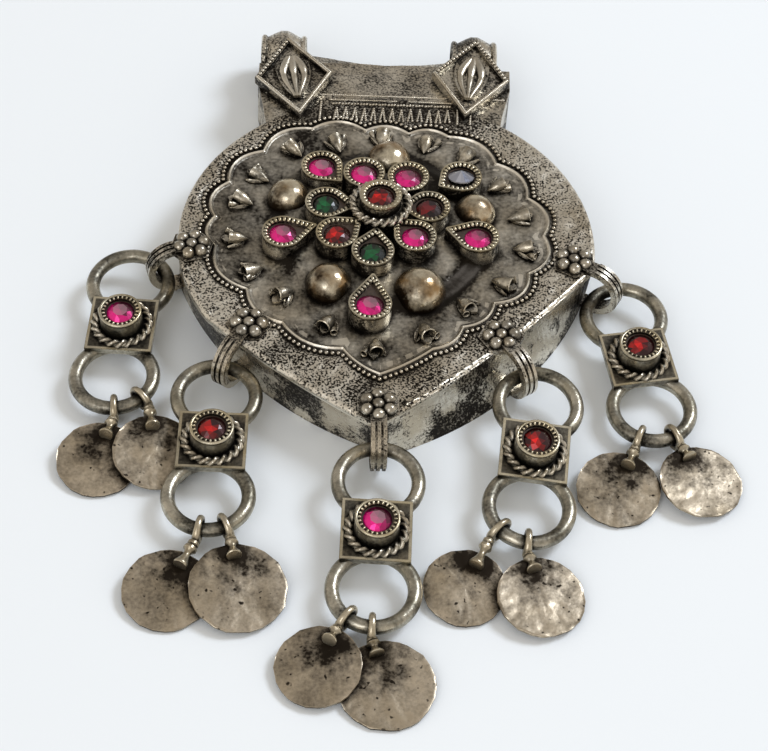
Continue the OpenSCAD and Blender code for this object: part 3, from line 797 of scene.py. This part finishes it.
def dome_painted_shade(tree, place, bright_mix):
    """Painted shade: a brown patch low on the left of each dome, and a dark skirt."""
    facing = add_node(tree, "ShaderNodeNewGeometry").outputs["Normal"]
    # Painted shade: darker where a face turns to the left, and on the skirt that faces down.
    for way, first, last, low, high in (
        ((-0.62, -0.5, 0.6), 0.93, 0.6, -0.5, 0.1),
        ((0, 0, 1), 0.1, 0.6, -0.6, 0.0),
    ):
        slope = add_node(tree, "ShaderNodeVectorMath", {0: facing, 1: way}, operation="DOT_PRODUCT")
        bright_mix = shift_mix(tree, bright_mix, slope.outputs["Value"], first, last, low, high)
    return bright_mix


# Pressed sheet polished by wear: one sharp light on a warm ball, with painted brown shade
# lower down.
dome_silver = oxidised_silver(
    "rubbed_dome_silver_with_painted_shade", worn="#ddd3bb", stain="#8f6f42", tarnish="#2f2418", bright_mix=0.55, blotch_mm=2.2,
    blotch_share=2.0, fleck_share=0.8, stained=0.9, dent_mm=1.7, polish=0.16, dullness=0.42,
    masks=dome_painted_shade,
)
domes = new_piece("domes", join("domes", [dome_mesh(*row) for row in DOMES]), dome_silver)
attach(domes, "root")

# Sprigs.
# Eighteen small cast buds with an open mouth and two leaves, soldered round the field with
# their mouths turned outwards.
SPRIGS = [
    (-7.3, 20.3), (-14.3, 18.7), (-20.1, 11.9), (-22.7, 5.9), (-23.2, -2.7), (-20.3, -9.5),
    (-15, -14.9), (-7.8, -20.6), (-0.6, -25.4), (7.2, -21.9), (13.9, -15.6), (19.9, -11),
    (23.8, -3.3), (23, 4.3), (19.6, 11.4), (14.4, 17.7), (8, 20.7), (0.2, 21.6),
]
# Rows of (place along, radius): a pointed stalk that swells to a rolled lip round a deep mouth.
BUD_PROFILE = [
    (0.0, 0.06), (0.4, 0.36), (1.0, 0.68), (1.7, 0.98), (2.3, 1.1), (2.8, 1.08), (3.1, 1.16), (3.3, 1.22),
    (3.42, 1.1), (3.3, 0.9), (2.8, 0.66), (2.0, 0.3),
]
BUD_LIFT, BUD_TILT = 0.5, 8
# Length, width and curl of a leaf, the place of its stalk, and how far it turns aside.
LEAF_LENGTH, LEAF_WIDTH, LEAF_CURL, LEAF_AT, LEAF_TURN = 3.5, 0.9, 0.1, (-1.6, 0, -0.4), 0.58


def turned(degrees, axis):
    """A turn about one axis."""
    return Matrix.Rotation(math.radians(degrees), 4, axis)


def lathe(name, profile, around=20, crease=50):
    """A turned shape along +X from rows of (place along, radius)."""
    rings = [ring_points((u, 0, 0), (0, r, 0), (0, 0, r), around) for u, r in profile]
    return loft(name, rings, crease=crease)


def leaf_mesh():
    """A small pointed leaf along +X that curls up towards its end."""
    rings = []
    for t in np.linspace(0.02, 1, 9):
        half = LEAF_WIDTH / 2 * math.sin(math.pi * min(t, 0.97)) ** 0.7
        u, z = LEAF_LENGTH * t, 0.15 + LEAF_CURL * t * t
        rings.append([(u, half, z), (u, 0, z + 0.3), (u, -half, z), (u, 0, z - 0.2)])
    return loft("leaf", rings)


def bud_meshes(x, y, k):
    """One sprig: a bud with an open mouth, a smaller mouth beside it, and two leaves."""
    heading = math.atan2(y - RELIEF_MIDDLE[1], x - RELIEF_MIDDLE[0])
    stand = moved(x, y, FACE_Z + BUD_LIFT) @ Matrix.Rotation(heading, 4, "Z")
    side = 1 if k % 2 else -1
    tilt = turned(-(BUD_TILT + 4 * math.sin(2.3 * k)), "Y")
    # Place along and across, turn and size of the two buds, which change a little with k.
    for along, beside, turn, size in (
        (-2.0, 0.0, 0.16 * math.sin(1.7 * k), 1.0 + 0.12 * math.sin(3.1 * k)),
        (0.1, 0.9 * side, 0.45 * side, 0.5),
    ):
        bud = lathe("bud", BUD_PROFILE)
        own = moved(along, beside, 0) @ Matrix.Rotation(turn, 4, "Z") @ tilt @ Matrix.Scale(size, 4)
        bud.transform(stand @ own)
        yield bud
    for turn in (-LEAF_TURN, LEAF_TURN):
        leaf = leaf_mesh()
        leaf.transform(stand @ moved(*LEAF_AT) @ Matrix.Rotation(turn, 4, "Z"))
        yield leaf


# Cast silver: blunt grey shapes, pitted, with bright lips and black mouths.
bud_silver = oxidised_silver(
    "cast_bud_silver", worn="#d8d0bd", bright_mix=0.34, hollow_mm=1.0, blotch_mm=1.6, blotch_share=2.2,
    dent_mm=0.9, dent_depth_mm=0.16, polish=0.22,
)
buds = [mesh for k, (x, y) in enumerate(SPRIGS) for mesh in bud_meshes(x, y, k)]
sprigs = new_piece("sprigs", join("sprigs", buds), bud_silver)
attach(sprigs, "root")

# Tabs.
# Each hook hangs from a six sided tab with seven granules, melted balls of silver that are
# soldered close together and stay bright on top.
TABS = [(-30.3, -4.6, 198), (-20.3, -21.3, 239), (0.1, -37.2, 272), (19.3, -22.2, 304), (31.6, -5.4, 331)]
GRANULE_R, GRANULE_Z, GRANULE_STEP = 1.08, 9.73, 2
# Rows of (height over the middle, radius), from just under a granule's waist to its top.
GRANULE_PROFILE = [
    (GRANULE_R * math.sin(t), GRANULE_R * math.cos(t)) for t in np.linspace(-0.5, 1.52, 9)
]
granules = []
for x, y, turn in TABS:
    around = np.radians(np.arange(turn, turn + 360, 60))
    for out_x, out_y in [(0, 0), *(GRANULE_STEP * np.stack([np.cos(around), np.sin(around)], 1))]:
        ball = lathe("granule", GRANULE_PROFILE, around=16)
        ball.transform(moved(x + out_x, y + out_y, GRANULE_Z) @ turned(-90, "Y"))
        granules.append(ball)
# Melted silver: smooth drops that mirror the light, with tarnish packed between them.
granule_silver = oxidised_silver(
    "granule_silver", bright_mix=0.42, hollow_mm=1.2, blotch_mm=1.6, blotch_share=1.8, dent_mm=1.2,
    dent_depth_mm=0.06, polish=0.1,
)
granule_piece = new_piece("tab_granules", join("tab_granules", granules), granule_silver)
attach(granule_piece, "root")

# Neck.
# The roof of the neck slopes down between the bails. Under its ridge a row of marks is
# punched into the face: pairs of leaning strokes, each pair under a short bar.
MARK_Z = FACE_Z + 0.14
# The pairs: each one's x, the y of their feet, their height, half their spread, the y of a bar.
PAIRS, FOOT_Y, PAIR_HEIGHT, PAIR_SPREAD, BAR_Y = np.linspace(-7.6, 11.5, 13), 26.9, 2.7, 0.38, 30.7
# Single strokes beside them: each one's x, and the y of their feet and tops.
POSTS, POST_FOOT_Y, POST_TOP_Y = (-10.4, 13.2, 15.4), 26.6, 31.0
# Each cord on the neck: its two ends, its y and its height over the face.
RIDGES = [(-19.6, 21.3, 33.3, -0.05), (-8.6, 12.6, 31.9, 0.1)]
# Pitch, and size along, across and up, of a mark.
STROKE_MARK, RIDGE_MARK = (0.46, 0.32, 0.28, 0.4), (0.35, 0.34, 0.24, 0.2)
stroke_paths = []
for x in PAIRS:
    foot = FOOT_Y + 0.15 * math.sin(5 * x)
    for side in (-PAIR_SPREAD, PAIR_SPREAD):
        stroke_paths.append(([(x + side, foot, MARK_Z), (x + 0.1, foot + PAIR_HEIGHT, MARK_Z)], False))
    stroke_paths.append(([(x - 0.5, BAR_Y, MARK_Z), (x + 0.5, BAR_Y + 0.1, MARK_Z)], False))
for x in POSTS:
    stroke_paths.append(([(x, POST_FOOT_Y, MARK_Z), (x + 0.2, POST_TOP_Y, MARK_Z)], False))
ridge_paths = [([(left, y, FACE_Z + up), (right, y, FACE_Z + up)], False) for left, right, y, up in RIDGES]
strokes = stamped_row("neck_strokes", stroke_paths, bead_silver, *STROKE_MARK)
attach(strokes, "root")
ridge = stamped_row("neck_ridge", ridge_paths, bead_silver, *RIDGE_MARK)
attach(ridge, "root")

# Diamond plates.
# Each bail is held down by a diamond of cast silver with a beaded border and a bud of
# three curved lobes, standing on the sloping roof of the neck.
DIAMOND_HALF, DIAMOND_TILT, BORDER_INSET, BORDER_Z = (6.8, 9.7), 2.4, 0.92, 1.5
# Side, middle, lean in degrees, and the corner, counted from the lowest, where beads begin.
DIAMONDS = [("left", (-15.1, 36.4), 8.0, 2), ("right", (15.7, 37.3), -7.0, 1)]
# Pitch, and size along, across and up, of a mark of the border.
BORDER_BEAD, BORDER_CORD = (0.8, 0.36, 0.38, 0.36), (0.3, 0.4, 0.38, 0.36)
# Each lobe: its side and how far it bows out; then where all three begin, and their length.
LOBES, LOBE_FOOT, LOBE_LENGTH, LOBE_Z = ((-1, 1.75), (0, 0.0), (1, 1.75)), -5.4, 9.6, 1.55


def lobe_mesh(side, bow):
    """A bent lobe that swells from its foot, has a waist past its middle, and ends blunt."""
    rings = []
    for t in np.linspace(0, 1, 26):
        out = side * (0.35 + bow * math.sin(math.pi * t**1.3) * (1 - 0.3 * t))
        waist = 0.16 * math.exp(-(((t - 0.55) / 0.08) ** 2))
        thick = (0.34 + 0.56 * eased_step(t, 0.1, 0.8) - waist) * (1 if t < 0.97 else 0.5)
        middle = (out, LOBE_FOOT + LOBE_LENGTH * t, LOBE_Z)
        rings.append(ring_points(middle, (thick, 0, 0), (0, 0, 0.9 * thick), 12))
    return loft("lobe", rings)


# Cast silver, much handled: beads and lobes are bright, and the plate behind them is dark.
border_silver = oxidised_silver(
    "cast_border_silver", bright_mix=0.66, hollow_mm=1.0, blotch_share=0.9, dent_depth_mm=0.03
)
for side, (x, y), lean, beaded in DIAMONDS:
    stand = moved(x, y, FACE_Z + 0.1) @ turned(lean, "Z") @ turned(DIAMOND_TILT, "X")
    half_x, half_y = (BORDER_INSET * half for half in DIAMOND_HALF)
    corners = [(half_x * u, half_y * v, BORDER_Z) for u, v in ((0, -1), (1, 0), (0, 1), (-1, 0))]
    for part, path, mark in (
        ("beads", corners[beaded:], BORDER_BEAD),
        ("cord", [corners[3], *corners[: beaded + 1]], BORDER_CORD),
    ):
        border = stamped_row(f"diamond_{part}_{side}", [(path, False)], border_silver, *mark, stand)
        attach(border, "root")
    bud_mesh = join(f"diamond_bud_{side}", [lobe_mesh(*row) for row in LOBES])
    bud_mesh.transform(stand)
    bud_piece = new_piece(f"diamond_bud_{side}", bud_mesh, border_silver)
    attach(bud_piece, "root")

# Drops.
# A drop is two rings of thick wire under a square plate with a roped cup, soldered in one
# piece. The rings are hammered and scratched, and olive grey.
RING_R, RING_OUT = 6.1, 9.4
# Each row: x, y, turn, slope along the drop, tip to one side, and the height of its lower end.
DROPS = [
    (-40.6, -17.9, -3.5, 3.6, 1.5, 2.4), (-25.0, -41.3, -0.7, 2.6, 0, 2.95), (0.1, -57.5, -1.5, 5, -1, 2.4),
    (24.1, -41.9, -5.6, 5.6, -3, 2.7), (41.6, -21.4, 10.1, 2.8, 1, 2.45),
]
# The plate, how far its dark ground and bright edge stand back, and their reach at its top.
PLATE_HALF, PLATE_TOP, GROUND_INSET, EDGE_INSET = 5.3, 1.6, 0.45, 0.06
GROUND, PLATE_EDGE = (-0.05, 0.04), (-0.05, 0.07)
LINK_CUP_R, LINK_CUP_TOP, NOTCH_INSET, LIP_INSET, LINK_LIP_R = 3.35, 4.9, 0.62, 0.2, 0.24
LINK_NOTCH = (0.72, 0.22, 0.36, 0.3)
LINK_ROPE_R, LINK_ROPE_TWISTS, LINK_ROPE_LIFT = 4.25, 20, 0.15


def link_place(row):
    """Where a drop lies: its own frame has the rings in its plane and the plate above."""
    x, y, yaw, pitch, tip, low = row
    z = low + (RING_OUT + RING_R) * math.sin(math.radians(pitch))
    return moved(x, y, z) @ turned(yaw, "Z") @ turned(-tip, "Y") @ turned(pitch, "X")


def square_points(half, count=96):
    """A square in as many points as a ring has, so the two can be joined."""
    return np.clip(round_points(0, 0, half * 1.41, 0, count), -half, half)


def wire_ring(ring_r, wire_r, z):
    """A ring of round wire."""
    rings = []
    for turn in np.linspace(0, 2 * math.pi, 64, endpoint=False):
        way = np.array([math.cos(turn), math.sin(turn), 0])
        rings.append(ring_points(way * ring_r + (0, 0, z), way * wire_r, (0, 0, wire_r), 10))
    return loft("wire_ring", rings, closed=True)


# Hammered wire: olive grey, scratched, with broad bright flats and dark hollows.
link_silver = oxidised_silver(
    "hammered_wire_silver", worn="#bfb9a8", stain="#8d866c", tarnish="#25231d", bright_mix=0.38, hollow_mm=2.0,
    blotch_mm=3.6, blotch_share=2.4, fleck_share=0.9, dent_mm=1.6, grain=0.5, polish=0.24,
)
# Sawn plate that fingers don't reach: dull dark grey round the cup.
ground_silver = oxidised_silver(
    "tarnished_plate_silver", worn="#8f897b", tarnish="#1f1d19", bright_mix=0.1, hollow_mm=1.6, blotch_mm=3.0,
    blotch_share=1.4, fleck_share=0.8, dent_mm=1.4,
)
for k, row in enumerate(DROPS, 1):
    stand = link_place(row)
    link = frame["nodes"][f"link_{k}"]
    link.data.materials.clear()
    link.data.materials.append(link_silver)
    cup_rim = [(round_points(0, 0, LINK_CUP_R - NOTCH_INSET, LINK_CUP_TOP), True)]
    notches = stamped_row(f"link_notches_{k}", cup_rim, rim_silver, *LINK_NOTCH, stand)
    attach(notches, "root")
    square, outside = (square_points(PLATE_HALF - inset) for inset in (GROUND_INSET, EDGE_INSET))
    cup = round_points(0, 0, LINK_CUP_R - 0.1, 0, 96)
    outer, inner, stone = (
        round_points(0, 0, radius, 0)
        for radius in (LINK_CUP_R + PROUD, LINK_CUP_R - RIM_T, STONE_R + PROUD)
    )
    for name, mesh, finish in (
        ("lip", wire_ring(LINK_CUP_R - LIP_INSET, LINK_LIP_R, LINK_CUP_TOP + PROUD), rim_silver),
        ("ground", flat_ring(square, cup, PLATE_TOP, GROUND), ground_silver),
        ("edge", flat_ring(outside, square, PLATE_TOP, PLATE_EDGE), rim_silver),
        ("rope", rope_ring("rope", LINK_ROPE_R, PLATE_TOP + LINK_ROPE_LIFT, LINK_ROPE_TWISTS), rope_silver),
        ("rim_bed", flat_ring(outer, inner, LINK_CUP_TOP, BED), bed_silver),
        ("resin", flat_ring(inner, stone, LINK_CUP_TOP, FILL), resin_brown),
    ):
        mesh.transform(stand)
        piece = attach(new_piece(f"link_{name}_{k}", mesh, finish), "root")

# Stones.
# Glass cut as small brilliants and backed with foil. Each facet has its own tone with painted
# light, brighter on one side of the stone, and the flat table a painted sheen for the room it
# mirrors. They are pressed into the resin inside each rim.
GIRDLE_DEPTH, GIRDLE_HALF, CROWN_H, PAVILION_H, TABLE_R = 0.45, 0.1, 0.75, 1.25, 1.18
# Radius and height of the corners halfway down the crown.
STAR_R, STAR_H = 1.62, 0.47
# Numbers of the two middle points of the mesh: under the pavilion, and on the table.
POINT, TABLE = 48, 49
# Lit and shaded tone of each foil: the painted facet light runs between them.
GLASS = {
    "pink_glass": ("#f5148c", "#4a0626"), "red_glass": ("#ff1a10", "#2c0406"),
    "dark_red_glass": ("#9a1015", "#160304"), "green_glass": ("#0c8146", "#020a06"),
    "clear_glass": ("#d5d6de", "#5d606c"),
}
# Colour of the painted sheen on a table, a painted reflection of the room; the size and depth of waves in
# the glass.
PAINTED_SHEEN_COLOUR, WAVE_MM, WAVE_DEPTH_MM = "#c9a9b4", 1.1, 0.1
# The glass that has turned over: its stone, its tip in degrees and its height at the rim.
LOOSE, LOOSE_TIP, LOOSE_RISE = "stone_outer_3", 17, -0.1
CUT_SEED = 11


def brilliant(name):
    """A round cut stone: a table split by the facets seen through it, a crown and a pavilion."""
    def corners(count, radius, z, start):
        """Corners of one row of facets, the first of them this part of a step round."""
        turns = [2 * math.pi * (k + start) / count for k in range(count)]
        return [(radius * math.cos(t), radius * math.sin(t), z) for t in turns]

    points = (
        corners(8, TABLE_R, CROWN_H, 0) + corners(8, STAR_R, STAR_H, 0.5)
        + corners(16, STONE_R, GIRDLE_HALF, 0) + corners(16, STONE_R, -GIRDLE_HALF, 0)
        + [(0, 0, -PAVILION_H), (0, 0, CROWN_H)]
    )
    faces = [(k, (k + 1) % 8, TABLE) for k in range(8)]
    for k in range(8):
        after, before, low = (k + 1) % 8, (k - 1) % 8, 16 + 2 * k
        side, beyond = low + 1, 16 + 2 * after
        faces += [
            (k, 8 + k, after), (k, 8 + before, low, 8 + k), (8 + k, low, side), (8 + k, side, beyond),
        ]
    for k in range(16):
        after = (k + 1) % 16
        faces += [(16 + k, 32 + k, 32 + after, 16 + after), (32 + k, POINT, 32 + after)]
    return facing_out(name, points, faces)


def foiled_glass(name, bright, deep):
    """Foil behind glass: painted light for each facet, and a painted sheen on the table, under a hard coat.
    """
    material, tree, shader = new_material(name)
    tone, painted_sheen = (
        add_node(tree, "ShaderNodeAttribute", attribute_name=key).outputs["Fac"]
        for key in ("facet_tone_and_painted_light", "painted_sheen")
    )
    foil = add_node(tree, "ShaderNodeMix", {0: tone, 6: linear(deep), 7: linear(bright)}, data_type="RGBA")
    colour = add_node(
        tree, "ShaderNodeMix", {0: painted_sheen, 6: foil.outputs[2], 7: linear(PAINTED_SHEEN_COLOUR)}, data_type="RGBA"
    )
    place = add_node(tree, "ShaderNodeTexCoord").outputs["Object"]
    wave = add_node(tree, "ShaderNodeTexNoise", {"Vector": place, "Scale": 1000 / WAVE_MM, "Detail": 2.0})
    bent = add_node(tree, "ShaderNodeBump", {
        "Height": wave.outputs[0], "Strength": 0.2, "Distance": WAVE_DEPTH_MM * TO_METRES,
    })
    tree.links.new(colour.outputs[2], shader.inputs["Base Color"])
    tree.links.new(bent.outputs[0], shader.inputs["Normal"])
    for key, value in (
        ("Metallic", 0.6), ("Roughness", 0.3), ("Coat Weight", 0.6), ("Coat Roughness", 0.05),
        ("Coat IOR", 1.45),
    ):
        shader.inputs[key].default_value = value
    return material


def facet_tone_and_painted_light(slot, side, on_table):
    """Painted light on the foil behind a facet, from the way to the facet out of the stone's middle.

    It is brighter towards the lower left (towards the left in clear glass), and each facet but a
    pink table has a random tone as well.
    """
    if "pink" in slot:
        tone = 0.36 - 0.75 * side.x - 0.65 * side.y + pick.uniform(-0.3, 0.3) * (not on_table)
    elif "clear" in slot:
        tone = 0.5 - 0.4 * side.x + pick.uniform(-0.4, 0.4)
    else:
        tone = 0.8 - 1.2 * math.hypot(side.x + 0.2, side.y + 0.25) + pick.uniform(-0.25, 0.25)
    return min(1.0, max(0.0, tone))


# Moulded and foiled glass: deep colour with painted light that flashes facet by facet, under a
# clear, hard shine.
glass = {slot: foiled_glass("foiled_" + slot, *tones) for slot, tones in GLASS.items()}
slots = {row["node"]: row["material_slot"] for row in frame["record"]["subparts"]}
settings = {"stone_centre": moved(*CENTRE, FACE_Z + CENTRE_TOP - GIRDLE_DEPTH)}
for kind, rows, top in (("inner", INNER_PEARS, INNER_TOP), ("outer", OUTER_PEARS, OUTER_TOP)):
    for k, (x, y, tip) in enumerate(rows, 1):
        node = f"stone_{kind}_{k}"
        settings[node] = moved(x, y, FACE_Z + top - GIRDLE_DEPTH)
        if node == LOOSE:
            settings[node] = moved(x, y, FACE_Z + top + LOOSE_RISE) @ turned(180 - LOOSE_TIP, "X")
for k, row in enumerate(DROPS, 1):
    settings[f"link_stone_{k}"] = link_place(row) @ moved(0, 0, LINK_CUP_TOP - GIRDLE_DEPTH)
pick = np.random.default_rng(CUT_SEED)
for node, stand in settings.items():
    slot = slots[node]
    mesh = brilliant(node)
    mesh.transform(stand @ Matrix.Rotation(pick.uniform(0, 0.78), 4, "Z"))
    on_table = [TABLE in face.vertices for face in mesh.polygons]
    # Painted light for each facet, brighter on one side of the stone.
    ways = [(face.center - stand.translation) / (STONE_R * TO_METRES) for face in mesh.polygons]
    hold(mesh, "facet_tone_and_painted_light", [facet_tone_and_painted_light(slot, way, flat) for way, flat in zip(ways, on_table)], "FACE")
    # A painted sheen on the table: strong on pink glass, faint on the rest.
    painted_sheen_share = pick.uniform(0.15, 0.5) * (1 if "pink" in slot else 0.1)
    hold(mesh, "painted_sheen", [painted_sheen_share * flat for flat in on_table], "FACE")
    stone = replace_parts(new_piece("cut_" + node, mesh, glass[slot]), node)
    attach(stone, "root")

# Discs.
# Coins of thin sheet cut with shears and beaten flat, so that the edge has short straight
# cuts and the faces are dented, each on a cast eye with ribs, a waist and a flared foot.
DISC_T, SHEAR_CUTS, DENT_MM, PIT_MM = 0.6, 24, 3.8, 1.2
# Sizes in the finish: black pits, and the cloud of tarnish under the eye.
BLACK_PIT_MM, CLOUD_MM = 0.9, 2.2
# Each row: degrees round the lower ring, then x, y, z, radius, slope along and tip to one side.
DISCS = [
    (8, -42.4, -42.9, 1.5, 6.5, 10, 0), (50, -33.8, -41.6, 2.12, 6.6, 8, -7),
    (-9, -30.3, -66.8, 1.42, 6.7, 9, 0), (28, -19.9, -66.4, 1.94, 7.4, 7, -5),
    (-37, -7.9, -79.6, 1.9, 6.45, 8, 6), (0, 1.9, -81.9, 1.06, 7.2, 5.5, 0),
    (-42, 13.3, -64.9, 1.46, 6.3, 10, 0), (2, 24.5, -66.4, 1.8, 6.7, 5, -5),
    (-32, 37.2, -45.7, 1.4, 6.6, 9, 0), (20, 50.0, -44, 1.76, 6.6, 3, -6),
]
# The eye: its wire, its loop, how far inside the rim its foot stands, and how high.
EYE_WIRE_R, EYE_R, FOOT_INSET, FOOT_RISE = 0.45, 1.77, 2.2, 0.45
# Eye's stem as rows of (part of its length, radius): ribs, bead, waist and flared foot.
STEM_PROFILE = [
    (0.0, 0.75), (0.1, 0.62), (0.16, 0.88), (0.24, 0.88), (0.29, 0.62), (0.36, 1.02), (0.44, 1.05),
    (0.5, 0.7), (0.6, 0.5), (0.7, 0.56), (0.82, 0.74), (0.93, 1.0), (1.0, 1.16), (1.05, 1.18),
    (1.08, 1.08), (1.09, 0.1),
]


def hammered_disc(radius, seed):
    """A beaten coin inside the flat disc of its solid: cut edge, shallow dents on its top."""
    pick = np.random.default_rng(seed)
    turns = np.linspace(0, 2 * math.pi, SHEAR_CUTS, endpoint=False) + pick.uniform(-0.1, 0.1, SHEAR_CUTS)
    reach = radius * pick.uniform(0.978, 1.0, SHEAR_CUTS)
    corners = np.stack([reach * np.cos(turns), reach * np.sin(turns)], 1)
    edge = np.array([
        start + (end - start) * t
        for start, end in zip(corners, np.roll(corners, -1, axis=0)) for t in np.arange(0, 1, 0.2)
    ])

    def layer(share, z):
        """The cut edge, drawn in to a share of its size, at a height."""
        return np.column_stack([edge * share, np.full(len(edge), z)])

    top = np.array([
        layer(t, DISC_T / 2) for t in (0.03, 0.1, 0.2, 0.3, 0.4, 0.5, 0.6, 0.7, 0.8, 0.88, 0.94, 0.985)
    ])
    dents = np.clip(unevenness(top + seed * 13, DENT_MM), -0.4, 0.4)
    pits = np.clip(unevenness(top + seed * 7, PIT_MM), -0.4, 0.05)
    top[..., 2] -= 0.08 + 0.14 * (0.4 - dents) - 0.12 * pits
    rim = [layer(1, DISC_T / 2 - 0.17), layer(1, -DISC_T / 2 + 0.06)]
    below = [layer(t, -DISC_T / 2) for t in (0.98, 0.7, 0.4, 0.1)]
    return loft("coin", np.concatenate([top, rim, below]), crease=50)


def disc_wear(tree, place, bright_mix):
    """Black tarnish that clouds the coin under its eye, and black pits."""
    near = add_node(tree, "ShaderNodeAttribute", attribute_name="from_eye").outputs["Fac"]
    pits, cloud = (
        add_node(
            tree, "ShaderNodeTexNoise", {"Vector": place, "Scale": 1000 / size, "Detail": detail}
        ).outputs[0]
        for size, detail in ((BLACK_PIT_MM, 1.0), (CLOUD_MM, 4.0))
    )
    # The cloud moves the distance from the eye by up to 6 mm, which frays the black.
    frayed = shift_mix(tree, near, cloud, 0.0, 1.0, -6.0, 6.0)
    bright_mix = shift_mix(tree, bright_mix, frayed, 1.0, 6.5, -0.8, 0.0)
    return shift_mix(tree, bright_mix, pits, 0.24, 0.31, -0.8, 0.0)


def eye_loop(at, way):
    """A cast loop round the wire at a place, thicker on the side that the stem is on."""
    beside = np.cross(way, (0, 0, 1))
    rings = []
    for t in np.linspace(0, 2 * math.pi, 40, endpoint=False):
        outward = way * math.cos(t) + (0, 0, math.sin(t))
        thick = EYE_WIRE_R * (1 + 0.35 * max(0, math.cos(t)) ** 3)
        middle = at + outward * (EYE_R + thick - EYE_WIRE_R)
        rings.append(ring_points(middle, outward * thick, beside * thick * 1.15, 12))
    return loft("loop", rings, closed=True)


# Beaten sheet: a broken, satin shine on a warm grey, clouded black at the eye.
disc_silver = oxidised_silver(
    "beaten_coin_silver", worn="#c5b8a2", stain="#8f8065", tarnish="#262019", bright_mix=0.5, hollow_mm=2.0,
    fleck_share=0.9, dent_mm=4.2, dent_depth_mm=0.24, polish=0.33, masks=disc_wear,
)
# Cast and filed: the ribs and foot are rubbed bright, and the waist is dark.
eye_silver = oxidised_silver(
    "cast_eye_silver", worn="#c9bfa8", bright_mix=0.6, hollow_mm=1.4, blotch_mm=2.5, blotch_share=0.9,
    dent_depth_mm=0.05,
)
for k, (turn, x, y, z, radius, pitch, tip) in enumerate(DISCS):
    drop, side = k // 2 + 1, ("left", "right")[k % 2]
    stand = link_place(DROPS[drop - 1])
    lean = turned(-tip, "Y") @ turned(pitch, "X")
    way = Vector((math.cos(math.radians(turn - 90)), math.sin(math.radians(turn - 90)), 0))
    at = Vector((0, -RING_OUT, 0)) + way * RING_R
    top = (stand @ ((at + way * EYE_R) * TO_METRES)) / TO_METRES
    toward = Vector((top.x - x, top.y - y, 0)).normalized() * (radius - FOOT_INSET)
    coin = hammered_disc(radius, k + 1)
    hold(coin, "from_eye", [(v.co / TO_METRES - toward).length for v in coin.vertices])
    coin.transform(moved(x, y, z) @ lean)
    piece = new_piece(f"coin_{drop}_{side}", coin, disc_silver)
    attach(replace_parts(piece, f"disc_{drop}_{side}"), "root")
    loop = eye_loop(np.array(at), np.array(way))
    loop.transform(stand)
    foot = Vector((x, y, z)) + lean.to_3x3() @ (toward + Vector((0, 0, DISC_T / 2 + FOOT_RISE)))
    run = foot - top
    stem = lathe("stem", [(u * run.length, r) for u, r in STEM_PROFILE])
    stem.transform(moved(*top) @ run.to_track_quat("X", "Z").to_matrix().to_4x4())
    eye = new_piece(f"eye_{drop}_{side}", join("eye", [loop, stem]), eye_silver)
    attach(eye, "root")
